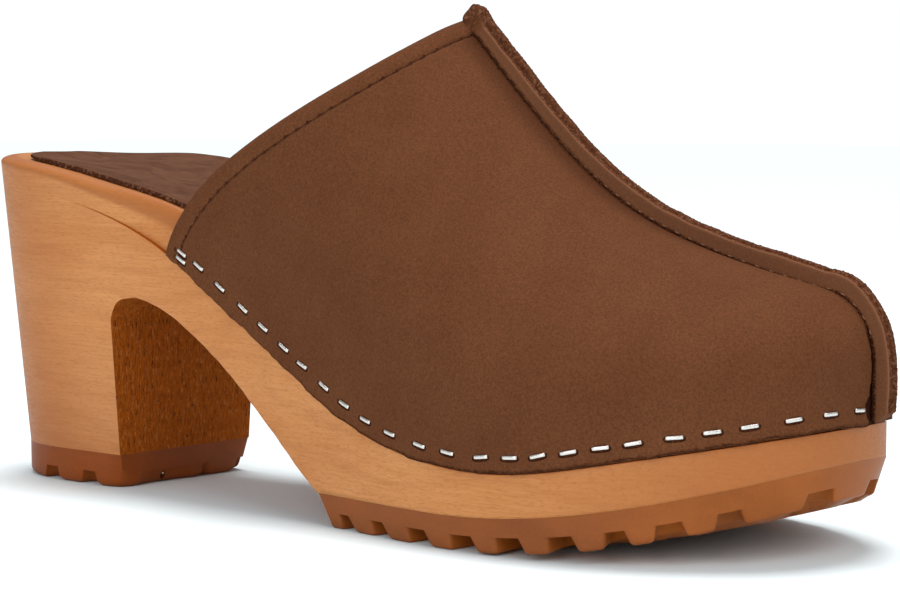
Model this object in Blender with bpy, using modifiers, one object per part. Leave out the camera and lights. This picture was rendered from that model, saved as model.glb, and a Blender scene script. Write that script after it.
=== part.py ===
"""A high-heeled clog for the right foot, as an assembly of separate solids.

A wooden sole carries a lugged rubber tread under the forefoot and under the heel.
A leather insole lies on its footbed. A leather upper, two halves joined by a raised
centre seam, stands in a shallow rabbet round the sole and is held by a row of staples.

The shoe is drawn with the foot of its heel starting near x = 0, the toe towards +X, the
inner (medial) side of the foot towards +Y and the floor at z = 0. An empty then carries
every piece, so that the origin is in the middle of the shoe, on the floor.
"""

import math
from collections import namedtuple

import bmesh
import bpy
import numpy as np
from mathutils import Matrix, Vector

MM = 0.001

# Driving sizes in millimetres.
HEEL_BACK = -8.6  # back of the wooden sole, at the footbed
TOE_TIP = 241.2  # tip of the wooden sole
LENGTH = TOE_TIP - HEEL_BACK
HEEL_TOP = 83.1  # footbed over the floor at the back of the heel
BREAST = 47.5  # front face of the heel
FOREFOOT_BACK = 123.0  # where the arch meets the forefoot tread
TREAD = 7.5  # rubber under the forefoot, lugs included
TREAD_TOE = 8.4  # the same under the tip of the toe
HEEL_TREAD = 8.5  # rubber under the heel, lugs included
TREAD_START = 164.0  # the sole lifts off the floor in front of this
TOE_SPRING = 12.6  # lift of the tread under the tip of the toe
TREAD_BACK_SLOPE = 5.0  # the tread's back end leans forward by this much
TREAD_TOE_SLOPE = 2.6  # and its front end leans back by this much
TREAD_SIDE_SLOPE = 0.3  # its sides lean in by this much
GAP = 0.3  # between two pieces that meet

LEATHER = 2.0  # wall of the upper
RABBET = 1.2  # depth of the step that the upper's lower edge stands in
RABBET_FADE = (38.0, 72.0)  # the step runs out towards the heel between these
SPRING = 8.5  # the upper stands upright over its lower edge for this height
TOE_UPRIGHT = 12.0  # and for this height round the toe
UPRIGHT_CHANGE = (0.6, 1.0)  # shares of the length between which that height changes
COLLAR_CORNER = 71.0  # where the collar meets the sole on both sides
LEAN_POWER = 1.4  # how the collar's slope steepens towards its lower corner
FULLNESS_COLLAR = 0.85  # 1 gives elliptic sections, less gives fuller ones
FULLNESS_TOE = 1.0
CROWN_COLLAR = 68.0  # sections turn by this angle up to the seam, 90 is level there
CROWN_TOE = 90.0
SECTION_CHANGE = (0.2, 1.0)  # shares of the length between which the sections change

SEAM_HEIGHT = 3.5  # centre seam over the leather
SEAM_WIDTH = 3.4  # two thicknesses of leather
SEAM_ROOT = 1.0  # part of the seam inside the wall
SEAM_FLARE = 0.9  # the foot of the seam is wider on each side by this much
SEAM_FOOT = 1.1  # height of that foot
SEAM_ROUNDING = 0.4  # of its top edges
SEAM_OVERHANG = 0.4  # the seam reaches past the collar by this much
SEAM_SWELL = 0.5  # share by which it is thicker at the collar, where the hem is folded in
SEAM_SWELL_LENGTH = 20.0
SEAM_TOE = 9.6  # the seam ends this far on the inner side of the sole's axis
SEAM_DRIFT_POWER = 1.4  # how it bends towards that end
TOE_SHIFT = 4.5  # the tip of the toe is this far on the inner side

INSOLE = 1.3
INSOLE_INSET = 4.2
FOOTBED_DISH = 1.6  # hollow of the footbed across its width
DISH_WIDTHS = (8.0, 50.0)  # the hollow fades out where the footbed is narrow
DISH_SHARES = (0.25, 0.5, 0.75)  # points across the hollow, between the rims
EDGE_WIDTH = 3.4  # rounding of the footbed's rim, seen from above
HEEL_TAPER_WIDTH = 0.23  # share of the heel's width lost down to the floor
HEEL_TAPER_BACK = 0.14  # share of the heel's depth lost down to the floor
SOLE_TAPER = 0.02  # the same loss of width in front of the arch
TAPER_END = 115.0

LUG_HEIGHT = 3.5
LUG_SLOPE = 0.3  # how much each wall of a notch leans, for every millimetre of height
NOTCH_ROUNDING = 0.9  # share of a notch's half-width in its round inner end

STAPLE_LENGTH = 4.2
STAPLE_WIDTH = 1.2
STAPLE_THICKNESS = 0.6
STAPLE_CORNER = 0.36  # cut off the crown's four corners
STAPLE_RISE = 4.2  # over the lower edge of the upper, along the arch
STAPLE_RISE_FRONT = 3.4  # the same along the forefoot
STAPLE_RISE_CHANGE = (45.0, 75.0)  # distances from the collar's corner
STAPLE_PAIR = ((3.4, 3.5), (3.9, 1.9))  # distance along and over the lower edge, at the collar's corner
STAPLE_EDGE = 202.6  # length of the outer side's lower edge, on which the other places are measured
STAPLE_PLACES = (
    9.0, 16.6, 24.8, 31.9, 39.3, 45.9, 54.1, 61.9, 69.9, 78.8, 88.9, 97.6,
    107.3, 115.0, 122.0, 129.1, 136.1, 142.9, 151.4, 159.1, 166.8, 176.1, 185.1, 194.4,
)

TIP_FLAT = 0.15  # the outline is cut flat this far inside its two ends
WOOD_HEEL_STATIONS = 16
WOOD_ARCH_STATIONS = 20
WOOD_FRONT_STATIONS = 20
INSOLE_STATIONS = 32
TREAD_STATIONS = 26
HEEL_STATIONS = 12
NOTCH_CLEARANCE = 4.0  # cutters reach past the faces that they cut by this much
RIBS = 36
RIB_UPRIGHT = 2
RIB_CURVED = 9
RIB_SPACING = 1.35  # over 1 brings the ribs closer together round the toe
EDGE_SAMPLES = 400  # steps in which lengths along the lower edge are measured
SHARP_ANGLE = 32.0  # faces that meet at more than this are not shaded as one

# Half-widths of the sole at the footbed, from its axis to either side.
Width = namedtuple("Width", "along lateral medial")
WIDTHS = (
    Width(HEEL_BACK, 0.0, 0.0),
    Width(-3.6, 16.2, 16.2),
    Width(3.2, 23.0, 22.8),
    Width(14.0, 27.8, 27.2),
    Width(32.0, 29.3, 28.4),
    Width(61.0, 30.8, 28.2),
    Width(86.0, 31.4, 26.4),
    Width(110.0, 33.2, 27.4),
    Width(134.0, 37.4, 33.0),
    Width(152.0, 40.9, 39.2),
    Width(172.0, 43.4, 43.6),
    Width(195.0, 42.8, 43.2),
    Width(214.0, 36.6, 36.6),
    Width(229.0, 26.8, 26.6),
    Width(238.0, 16.0, 16.0),
    Width(TOE_TIP, 0.0, 0.0),
)

# Rounding of the footbed's rim, as shares of its width and of its drop.
Rounding = namedtuple("Rounding", "inward down")
RIM_ROUNDING = (
    Rounding(0.40, 0.22),
    Rounding(0.10, 0.60),
    Rounding(0.0, 1.0),
)

# Heights over the floor along the sole.
Height = namedtuple("Height", "along height")
FOOTBED = (
    Height(HEEL_BACK, HEEL_TOP),
    Height(20.0, 81.3),
    Height(45.0, 77.8),
    Height(70.0, 72.3),
    Height(90.0, 64.6),
    Height(110.0, 54.0),
    Height(130.0, 42.4),
    Height(150.0, 33.6),
    Height(170.0, 29.6),
    Height(190.0, 29.2),
    Height(210.0, 31.8),
    Height(230.0, 36.6),
    Height(TOE_TIP, 40.0),
)
LEDGE = (
    Height(HEEL_BACK, 77.5),
    Height(38.0, 71.0),
    Height(72.0, 58.4),
    Height(85.0, 50.4),
    Height(98.0, 43.0),
    Height(111.0, 35.6),
    Height(125.0, 28.2),
    Height(140.0, 22.4),
    Height(155.0, 19.1),
    Height(172.0, 17.5),
    Height(188.0, 18.3),
    Height(205.0, 21.2),
    Height(225.0, 25.0),
    Height(TOE_TIP, 28.2),
)
ARCH = (
    Height(BREAST, 42.8),
    Height(49.0, 45.6),
    Height(52.0, 47.6),
    Height(57.0, 48.2),
    Height(64.0, 46.9),
    Height(72.0, 43.7),
    Height(81.0, 38.5),
    Height(90.0, 32.6),
    Height(100.0, 24.9),
    Height(110.0, 17.0),
    Height(118.0, 10.6),
    Height(FOREFOOT_BACK, TREAD),
)
EDGE_DROP = (
    Height(HEEL_BACK, 1.5),
    Height(30.0, 2.2),
    Height(70.0, 4.4),
    Height(TOE_TIP, 4.4),
)

# The upper's top line over the seam, from the collar's peak to where the toe rounds down.
RIDGE = (
    Height(139.7, 115.4),
    Height(151.3, 103.2),
    Height(162.2, 91.8),
    Height(183.8, 73.6),
    Height(204.0, 64.3),
    Height(219.5, 59.4),
    Height(230.0, 56.6),
)
RIDGE_LEVEL = 150.0  # the seam starts to drift inwards in front of this

# Section of the centre seam: distance from its middle and height over the leather.
SeamPoint = namedtuple("SeamPoint", "half_width height")
SEAM_SECTION = (
    SeamPoint(SEAM_WIDTH / 2 + SEAM_FLARE, -SEAM_ROOT),
    SeamPoint(SEAM_WIDTH / 2 + SEAM_FLARE, SEAM_FOOT / 10),
    SeamPoint(SEAM_WIDTH / 2, SEAM_FOOT),
    SeamPoint(SEAM_WIDTH / 2, SEAM_HEIGHT - SEAM_ROUNDING),
    SeamPoint(SEAM_WIDTH / 2 - SEAM_ROUNDING, SEAM_HEIGHT),
)

# Notches between the lugs, cut in from the tread's edge. The width is at the underside.
Notch = namedtuple("Notch", "place width depth")
FOREFOOT_NOTCHES = (  # place along the shoe, on both sides
    Notch(134.2, 4.8, 7.0),
    Notch(145.6, 5.4, 8.0),
    Notch(158.4, 6.8, 9.0),
    Notch(171.6, 7.4, 11.0),
    Notch(184.0, 7.2, 13.0),
    Notch(196.4, 6.8, 13.0),
    Notch(207.4, 5.6, 12.0),
    Notch(216.8, 6.8, 8.0),
    Notch(226.2, 6.4, 6.0),
    Notch(237.2, 8.8, 5.4),
)
HEEL_NOTCHES = (  # place along the shoe, on both sides
    Notch(20.8, 6.6, 4.6),
    Notch(35.4, 6.4, 4.6),
)
BREAST_NOTCHES = (  # place across the front of the heel
    Notch(-8.0, 19.0, 1.2),
    Notch(6.4, 4.0, 1.6),
    Notch(23.4, 6.0, 3.0),
)

LATERAL, MEDIAL = -1, 1

Finish = namedtuple("Finish", "colour roughness metallic")
FINISHES = {
    "wood": Finish((0.62, 0.29, 0.10), 0.5, 0.0),
    "leather": Finish((0.155, 0.062, 0.030), 0.85, 0.0),
    "insole": Finish((0.110, 0.062, 0.042), 0.75, 0.0),
    "rubber": Finish((0.30, 0.105, 0.030), 0.45, 0.0),
    "steel": Finish((0.78, 0.77, 0.75), 0.3, 1.0),
}


# Curves through the tables

def natural_spline(knots, values):
    """The natural cubic spline through the knots, as a function."""
    knots = np.asarray(knots, float)
    values = np.asarray(values, float)
    step = np.diff(knots)
    matrix = np.eye(len(knots))
    target = np.zeros(len(knots))
    for i in range(1, len(knots) - 1):
        matrix[i, i - 1:i + 2] = step[i - 1], 2 * (step[i - 1] + step[i]), step[i]
        slopes = np.diff(values)[i - 1:i + 1] / step[i - 1:i + 1]
        target[i] = 6 * (slopes[1] - slopes[0])
    bend = np.linalg.solve(matrix, target)

    def curve(at):
        i = int(np.clip(np.searchsorted(knots, at) - 1, 0, len(step) - 1))
        left, right, h = knots[i + 1] - at, at - knots[i], step[i]
        cubic = (bend[i] * left ** 3 + bend[i + 1] * right ** 3) / (6 * h)
        start = values[i] / h - bend[i] * h / 6
        end = values[i + 1] / h - bend[i + 1] * h / 6
        return float(cubic + start * left + end * right)

    return curve


def profile(rows):
    return natural_spline([row.along for row in rows], [row.height for row in rows])


def turn_at(along):
    """Angle from 0 at the heel to pi at the toe, which spreads both round ends."""
    return math.acos(1 - 2 * (along - HEEL_BACK) / LENGTH)


def along_at(turn):
    return HEEL_BACK + LENGTH * (1 - math.cos(turn)) / 2


def ramp(start, end, at):
    """0 before start, 1 after end, and a smooth step between."""
    share = min(1.0, max(0.0, (at - start) / (end - start)))
    return share * share * (3 - 2 * share)


footbed = profile(FOOTBED)
ledge = profile(LEDGE)
arch = profile(ARCH)
edge_drop = profile(EDGE_DROP)
half_width = {
    LATERAL: natural_spline([turn_at(row.along) for row in WIDTHS], [row.lateral for row in WIDTHS]),
    MEDIAL: natural_spline([turn_at(row.along) for row in WIDTHS], [row.medial for row in WIDTHS]),
}


def toe_lift(along):
    """Height of the tread's underside, which rolls up towards the toe."""
    share = max(0.0, along - TREAD_START) / (TOE_TIP - TREAD_START)
    return TOE_SPRING * share * share


def wood_line(along):
    """Height of the line where the wood meets the forefoot tread."""
    share = max(0.0, along - TREAD_START) / (TOE_TIP - TREAD_START)
    return TREAD + (TREAD_TOE - TREAD) * share + toe_lift(along)


def axis_shift(along):
    share = max(0.0, along - RIDGE_LEVEL) / (TOE_TIP - RIDGE_LEVEL)
    return TOE_SHIFT * share * share


def seam_side(along):
    """How far the centre seam lies on the inner side."""
    share = max(0.0, along - RIDGE_LEVEL) / (TOE_TIP - RIDGE_LEVEL)
    return SEAM_TOE * share ** SEAM_DRIFT_POWER


def rabbet_at(along):
    return RABBET * ramp(*RABBET_FADE, along)


# Plan of the sole. A turn from 0 to pi runs up the outer side, from pi to 2 pi back down.

def outline(turn):
    side = LATERAL if turn <= math.pi else MEDIAL
    folded = turn if side == LATERAL else 2 * math.pi - turn
    along = along_at(folded)
    return along, axis_shift(along) + side * half_width[side](folded)


def inset_outline(turn, inset):
    """A point of the outline moved inwards, square to it. A negative inset moves it out."""
    step = 1e-3
    before, after = outline(turn - step), outline(turn + step)
    dx, dy = after[0] - before[0], after[1] - before[1]
    size = math.hypot(dx, dy)
    along, across = outline(turn)
    return along - dy / size * inset, across + dx / size * inset


def side_turn(side, turn):
    return turn if side == LATERAL else 2 * math.pi - turn


def tapered(along, across, height):
    """The heel narrows towards the floor, from behind and from both sides."""
    share = 1 - height / HEEL_TOP
    loss = SOLE_TAPER + (HEEL_TAPER_WIDTH - SOLE_TAPER) * (1 - ramp(BREAST, TAPER_END, along))
    if along < BREAST:
        along = BREAST - (BREAST - along) * (1 - HEEL_TAPER_BACK * share)
    return along, across * (1 - loss * share), height


# Making objects

def collection_named(name):
    made = bpy.data.collections.new(name)
    bpy.context.scene.collection.children.link(made)
    return made


def material_named(name):
    found = bpy.data.materials.get(name)
    if found:
        return found
    finish = FINISHES[name]
    made = bpy.data.materials.new(name)
    made.use_nodes = True
    shader = made.node_tree.nodes["Principled BSDF"]
    shader.inputs["Base Color"].default_value = (*finish.colour, 1.0)
    shader.inputs["Roughness"].default_value = finish.roughness
    shader.inputs["Metallic"].default_value = finish.metallic
    return made


def object_from(bm, name, collection, finish=None):
    """Turns a mesh drawn in millimetres into an object in metres."""
    bmesh.ops.scale(bm, vec=(MM, MM, MM), verts=bm.verts)
    mesh = bpy.data.meshes.new(name)
    bm.to_mesh(mesh)
    bm.free()
    made = bpy.data.objects.new(name, mesh)
    collection.objects.link(made)
    if finish:
        mesh.materials.append(material_named(finish))
    return made


def skin(bm, rings, closed):
    """Quads between rings of equal length, whose ends join where closed is set."""
    rows = [[bm.verts.new(point) for point in ring] for ring in rings]
    count = len(rows[0])
    for here, ahead in zip(rows, rows[1:]):
        for i in range(count if closed else count - 1):
            j = (i + 1) % count
            bm.faces.new((here[i], here[j], ahead[j], ahead[i]))
    return rows


def loft(name, rings, collection, finish):
    """A closed solid through the rings, with flat ends."""
    bm = bmesh.new()
    rows = skin(bm, rings, closed=True)
    bm.faces.new(rows[0])
    bm.faces.new(rows[-1])
    bmesh.ops.remove_doubles(bm, verts=bm.verts, dist=1e-4)
    bmesh.ops.dissolve_degenerate(bm, dist=1e-4, edges=bm.edges)
    bmesh.ops.recalc_face_normals(bm, faces=bm.faces)
    return object_from(bm, name, collection, finish)


def cut(target, cutter):
    """Takes the cutter's volume out of the target."""
    cutter.hide_render = True
    cutter.display_type = "WIRE"
    boolean = target.modifiers.new("cut", "BOOLEAN")
    boolean.operation = "DIFFERENCE"
    boolean.object = cutter


def baked(source, name, collection):
    """The evaluated mesh of an object as an object of its own."""
    graph = bpy.context.evaluated_depsgraph_get()
    mesh = bpy.data.meshes.new_from_object(source.evaluated_get(graph))
    made = bpy.data.objects.new(name, mesh)
    made.matrix_world = source.matrix_world
    collection.objects.link(made)
    return made


# Wooden sole

def stations(start, end, count):
    """Turns from one place along the sole to another, closest together at the round ends."""
    return list(np.linspace(turn_at(start), turn_at(end), count))


def sole_side(side, turn, bottom):
    """One side of a section of the wood, from the footbed's rim down."""
    turn = side_turn(side, turn)
    along = outline(turn)[0]
    top, step, drop = footbed(along), rabbet_at(along), edge_drop(along)
    rim = EDGE_WIDTH - step
    places = [(EDGE_WIDTH, top)]
    places += [(step + rim * row.inward, top - drop * row.down) for row in RIM_ROUNDING]
    places += [(step, ledge(along)), (0.0, ledge(along)), (0.0, bottom)]
    return [tapered(*inset_outline(turn, inset), height) for inset, height in places]


def dished(first, last, share):
    """A point across the footbed, sunk below the line from one rim to the other."""
    first, last = np.array(first), np.array(last)
    point = first * (1 - share) + last * share
    width = abs(last[1] - first[1])
    depth = FOOTBED_DISH * ramp(*DISH_WIDTHS, width)
    point[2] -= depth * 4 * share * (1 - share)
    return tuple(point)


def sole_ring(turn, bottom):
    lateral = sole_side(LATERAL, turn, bottom)
    medial = sole_side(MEDIAL, turn, bottom)
    across = [dished(medial[0], lateral[0], share) for share in DISH_SHARES]
    return lateral + medial[::-1] + across


def wooden_sole(collection):
    heel = stations(HEEL_BACK + TIP_FLAT, BREAST, WOOD_HEEL_STATIONS)
    middle = stations(BREAST, FOREFOOT_BACK, WOOD_ARCH_STATIONS)
    front = stations(FOREFOOT_BACK, TOE_TIP - TIP_FLAT, WOOD_FRONT_STATIONS)[1:]
    rings = [sole_ring(turn, HEEL_TREAD) for turn in heel]
    rings += [sole_ring(turn, arch(along_at(turn))) for turn in middle]
    rings += [sole_ring(turn, wood_line(along_at(turn))) for turn in front]
    return loft("wooden_sole", rings, collection, "wood")


# Insole

def insole_ring(turn):
    rims = []
    for side in (LATERAL, MEDIAL):
        outer = side_turn(side, turn)
        height = footbed(outline(outer)[0]) + GAP
        rims.append(tapered(*inset_outline(outer, INSOLE_INSET), height))
    shares = (0.0, *DISH_SHARES, 1.0)
    lower = [dished(*rims, share) for share in shares]
    upper = [(x, y, z + INSOLE) for x, y, z in lower]
    return lower + upper[::-1]


def insole(collection):
    start, end = HEEL_BACK + INSOLE_INSET / 3, TOE_TIP - INSOLE_INSET / 3
    rings = [insole_ring(turn) for turn in stations(start, end, INSOLE_STATIONS)]
    return loft("insole", rings, collection, "insole")


# Rubber treads

def notch_cutter(bm, place, inward, underside, notch):
    """A slot with a round inner end and leaning walls, open towards the sole's edge."""
    across = Vector((-inward.y, inward.x, 0.0))
    clear = NOTCH_CLEARANCE
    rings = []
    for height in (-clear, LUG_HEIGHT):
        half = notch.width / 2 - LUG_SLOPE * height
        depth = notch.depth - LUG_SLOPE * height
        round_end = min(half, depth) * NOTCH_ROUNDING
        centre = inward * (depth - round_end)
        turns = [math.radians(angle) for angle in (90, 45, 0, -45, -90)]
        points = [centre + inward * round_end * math.cos(a) + across * half * math.sin(a) for a in turns]
        points.insert(0, inward * -clear + across * half)
        points.append(inward * -clear - across * half)
        floor = Vector((place.x, place.y, underside + height))
        rings.append([floor + point for point in points])
    rows = skin(bm, rings, closed=True)
    bm.faces.new(rows[0])
    bm.faces.new(rows[1])


def notches_cut(tread, places, cutters):
    """Cuts each notch of (place, inward direction, height of the underside, notch)."""
    bm = bmesh.new()
    for place in places:
        notch_cutter(bm, *place)
    bmesh.ops.recalc_face_normals(bm, faces=bm.faces)
    cut(tread, object_from(bm, tread.name + "_notches", cutters))


def edge_notches(notches, underside):
    """Where the notches of both sides are cut, and which way."""
    places = []
    for side in (LATERAL, MEDIAL):
        for notch in notches:
            turn = side_turn(side, turn_at(notch.place))
            height = underside(notch.place)
            place = Vector(tapered(*inset_outline(turn, 0.0), height))
            inner = Vector(tapered(*inset_outline(turn, 1.0), height))
            places.append((place, (inner - place).normalized(), height, notch))
    return places


def tread_low(side, turn):
    """A point of the edge of the tread's underside, inside the outline at both ends."""
    along = along_at(turn)
    along += TREAD_BACK_SLOPE * (TOE_TIP - along) / (TOE_TIP - FOREFOOT_BACK)
    place = side_turn(side, turn_at(along))
    toe = ramp(WIDTHS[-5].along, TOE_TIP, along)
    inset = TREAD_SIDE_SLOPE + (TREAD_TOE_SLOPE - TREAD_SIDE_SLOPE) * toe
    return tapered(*inset_outline(place, inset), toe_lift(along))


def tread_high(side, turn):
    """A point of the edge of the tread's upper face."""
    place = side_turn(side, turn)
    return tapered(*outline(place), wood_line(along_at(turn)) - GAP)


def forefoot_tread(collection, cutters):
    turns = stations(FOREFOOT_BACK, TOE_TIP - TIP_FLAT, TREAD_STATIONS)
    rings = []
    for turn in turns:
        low = [tread_low(side, turn) for side in (LATERAL, MEDIAL)]
        high = [tread_high(side, turn) for side in (MEDIAL, LATERAL)]
        rings.append(low + high)
    tread = loft("forefoot_tread", rings, collection, "rubber")
    notches_cut(tread, edge_notches(FOREFOOT_NOTCHES, toe_lift), cutters)
    return tread


def heel_tread(collection, cutters):
    turns = stations(HEEL_BACK + TIP_FLAT, BREAST, HEEL_STATIONS)
    lateral = [tapered(*outline(side_turn(LATERAL, turn)), HEEL_TREAD)[:2] for turn in turns]
    medial = [tapered(*outline(side_turn(MEDIAL, turn)), HEEL_TREAD)[:2] for turn in turns]
    rim = medial[::-1] + lateral
    rings = [[(x, y, height) for x, y in rim] for height in (0.0, HEEL_TREAD - GAP)]
    tread = loft("heel_tread", rings, collection, "rubber")
    places = edge_notches(HEEL_NOTCHES, lambda along: 0.0)
    backwards = Vector((-1.0, 0.0, 0.0))
    places += [(Vector((BREAST, row.place, 0.0)), backwards, 0.0, row) for row in BREAST_NOTCHES]
    notches_cut(tread, places, cutters)
    return tread


# Leather upper

class LowerEdge:
    """One side of the upper's lower edge, measured from the collar's corner to the centre seam."""

    def __init__(self, side):
        self.side = side
        end = self.seam_turn()
        self.turns = np.linspace(side_turn(side, turn_at(COLLAR_CORNER)), end, EDGE_SAMPLES)
        self.points = np.array([inset_outline(turn, RABBET - GAP - LEATHER) for turn in self.turns])
        steps = np.linalg.norm(np.diff(self.points, axis=0), axis=1)
        self.run = np.concatenate(([0.0], np.cumsum(steps)))
        self.length = self.run[-1]

    def seam_turn(self):
        """Turn of the point on the inner side of the toe where the seam comes down."""
        far = side_turn(MEDIAL, turn_at(TOE_TIP - SEAM_TOE))
        turns = np.linspace(math.pi, far, EDGE_SAMPLES)
        across = [outline(turn)[1] for turn in turns]
        return float(np.interp(SEAM_TOE, across, turns))

    def at(self, distance, height):
        """The outer face over this place on the edge, which leans with the sole's side."""
        along, across = [np.interp(distance, self.run, self.points[:, k]) for k in range(2)]
        return tapered(along, across, min(height, HEEL_TOP))[:2]

    def foot(self, distance):
        """The point of the lower edge itself."""
        along = np.interp(distance, self.run, self.points[:, 0])
        height = ledge(min(along, TOE_TIP)) + GAP
        return Vector((*self.at(distance, height), height))


class Ridge:
    """The upper's top line, by its share of length from the collar to the front of the toe."""

    def __init__(self):
        points = np.array([(row.along, row.height) for row in RIDGE])
        chords = np.linalg.norm(np.diff(points, axis=0), axis=1)
        shares = np.concatenate(([0.0], np.cumsum(chords))) / chords.sum()
        self.along = natural_spline(shares, points[:, 0])
        self.height = natural_spline(shares, points[:, 1])

    def at(self, share):
        along = self.along(share)
        return along, seam_side(along), self.height(share)


def rib(edge, ridge, share):
    """A line of the upper's outer face, from its lower edge up to the centre seam."""
    start = edge.length * share
    low = edge.foot(start).z
    top_x, top_y, top_z = ridge.at(share)
    slide = (RIDGE[0].along - COLLAR_CORNER) * (1 - share) ** 2
    upright = SPRING + (TOE_UPRIGHT - SPRING) * ramp(*UPRIGHT_CHANGE, share)
    change = ramp(*SECTION_CHANGE, share)
    crown = math.radians(CROWN_COLLAR + (CROWN_TOE - CROWN_COLLAR) * change)
    fullness = FULLNESS_COLLAR + (FULLNESS_TOE - FULLNESS_COLLAR) * change
    heights = [low + upright * i / RIB_UPRIGHT for i in range(RIB_UPRIGHT)]
    closing = [0.0] * RIB_UPRIGHT
    for i in range(RIB_CURVED + 1):
        angle = crown * i / RIB_CURVED
        rise = (math.sin(angle) / math.sin(crown)) ** fullness
        heights.append(low + upright + (top_z - low - upright) * rise)
        closing.append((1 - math.cos(angle)) / (1 - math.cos(crown)))
    points = []
    for height, close in zip(heights, closing):
        lean = ((height - low) / (top_z - low)) ** LEAN_POWER
        x, y = edge.at(start + slide * lean, height)
        points.append((x + (top_x - x) * close, y + (top_y - y) * close, height))
    points[-1] = (top_x, top_y, top_z)
    return points


def rib_shares():
    """Shares of the length, closer together round the toe."""
    return [1 - (1 - i / RIBS) ** RIB_SPACING for i in range(RIBS + 1)]


def upper_sheet(ridge, edges):
    """Rows of the outer face, each from the outer lower edge over the seam to the inner one."""
    rows = []
    for share in rib_shares():
        lateral = rib(edges[LATERAL], ridge, share)
        medial = rib(edges[MEDIAL], ridge, share)
        rows.append(lateral + medial[-2::-1])
    return rows


def seam_path(rows):
    """Points along the centre seam, over the ridge and down the front of the toe."""
    middle = len(rows[0]) // 2
    over = [Vector(row[middle]) for row in rows]
    down = [Vector(point) for point in reversed(rows[-1][:middle])]
    return over + down


def seam_rings(path):
    rings = []
    run = 0.0
    for i, point in enumerate(path):
        before, after = path[max(0, i - 1)], path[min(len(path) - 1, i + 1)]
        tangent = (after - before).normalized()
        out = tangent.cross(Vector((0.0, 1.0, 0.0))).normalized()
        across = out.cross(tangent).normalized()
        if i in (0, len(path) - 1):
            point = point - tangent * SEAM_OVERHANG
        run += (point - path[max(0, i - 1)]).length
        swell = 1 + SEAM_SWELL * (1 - ramp(0.0, SEAM_SWELL_LENGTH, run))
        left = [point + across * row.half_width * swell + out * row.height for row in SEAM_SECTION]
        right = [point - across * row.half_width * swell + out * row.height for row in SEAM_SECTION]
        rings.append(left + right[::-1])
    return rings


def leather_upper(collection, helpers, ridge, edges):
    rows = upper_sheet(ridge, edges)
    bm = bmesh.new()
    skin(bm, rows, closed=False)
    bmesh.ops.remove_doubles(bm, verts=bm.verts, dist=1e-3)
    bmesh.ops.recalc_face_normals(bm, faces=bm.faces)
    wall = object_from(bm, "upper_wall", helpers)
    solidify = wall.modifiers.new("wall", "SOLIDIFY")
    solidify.thickness = LEATHER * MM
    solidify.offset = -1.0
    solidify.use_even_offset = True
    upper = baked(wall, "upper", collection)
    upper.data.materials.append(material_named("leather"))
    bpy.data.objects.remove(wall)
    seam = loft("centre_seam", seam_rings(seam_path(rows)), helpers, "leather")
    seam.hide_render = True
    seam.display_type = "WIRE"
    joined = upper.modifiers.new("seam", "BOOLEAN")
    joined.operation = "UNION"
    joined.object = seam
    return upper


# Staples

def staple_mesh():
    """A flat crown with rounded edges, its length along X and its back towards +Z."""
    bm = bmesh.new()
    bmesh.ops.create_cube(bm, size=1.0)
    size = (STAPLE_LENGTH * MM, STAPLE_WIDTH * MM, STAPLE_THICKNESS * MM)
    bmesh.ops.scale(bm, vec=size, verts=bm.verts)
    upright = [edge for edge in bm.edges if edge.verts[0].co.z * edge.verts[1].co.z < 0]
    bmesh.ops.bevel(bm, geom=upright, offset=STAPLE_CORNER * MM, segments=1, affect="EDGES")
    mesh = bpy.data.meshes.new("staple")
    bm.to_mesh(mesh)
    bm.free()
    mesh.materials.append(material_named("steel"))
    return mesh


def staple_places(edge):
    """Distance along the lower edge, and height over it, of each staple of one side."""
    places = list(STAPLE_PAIR)
    for place in STAPLE_PLACES:
        distance = place * edge.length / STAPLE_EDGE
        front = ramp(*STAPLE_RISE_CHANGE, distance)
        places.append((distance, STAPLE_RISE + (STAPLE_RISE_FRONT - STAPLE_RISE) * front))
    return places


def rotation_of(frame):
    """The rotation whose X, Y and Z axes are the frame's three directions."""
    return Matrix(frame).transposed().to_quaternion()


def staple(name, mesh, collection, edge, distance, rise):
    """Lays a staple flat against the upright part of the upper, along its lower edge."""
    foot = edge.foot(distance)
    above = Vector((*edge.at(distance, foot.z + rise), foot.z + rise))
    tangent = (edge.foot(distance + 1.0) - edge.foot(distance - 1.0)).normalized()
    outward = tangent.cross(above - foot).normalized() * -edge.side
    up = outward.cross(tangent) * -edge.side
    centre = foot + up * rise + outward * (GAP + STAPLE_THICKNESS / 2)
    made = bpy.data.objects.new(name, mesh)
    made.location = centre * MM
    made.rotation_mode = "QUATERNION"
    frame = (tangent, outward.cross(tangent), outward)
    made.rotation_quaternion = rotation_of(frame)
    collection.objects.link(made)
    return made


def staples(collection, edges):
    mesh = staple_mesh()
    names = {LATERAL: "staple_outer", MEDIAL: "staple_inner"}
    for side, edge in edges.items():
        for number, (distance, rise) in enumerate(staple_places(edge), 1):
            staple(f"{names[side]}_{number:02d}", mesh, collection, edge, distance, rise)


# Assembly

def shaded_smooth(collection):
    for piece in collection.objects:
        piece.data.shade_smooth()
        piece.data.set_sharp_from_angle(angle=math.radians(SHARP_ANGLE))


def carried_by_empty(collection):
    """Parents every piece to an empty that puts the origin mid-shoe, on the floor."""
    bpy.context.view_layer.update()
    graph = bpy.context.evaluated_depsgraph_get()
    corners = []
    for piece in collection.objects:
        shown = piece.evaluated_get(graph)
        corners += [shown.matrix_world @ Vector(corner) for corner in shown.bound_box]
    low = Vector(map(min, *corners))
    high = Vector(map(max, *corners))
    carrier = bpy.data.objects.new("clog_centre", None)
    for piece in list(collection.objects):
        piece.parent = carrier
    collection.objects.link(carrier)
    carrier.location = (-(low.x + high.x) / 2, -(low.y + high.y) / 2, -low.z)
    return carrier


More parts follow.
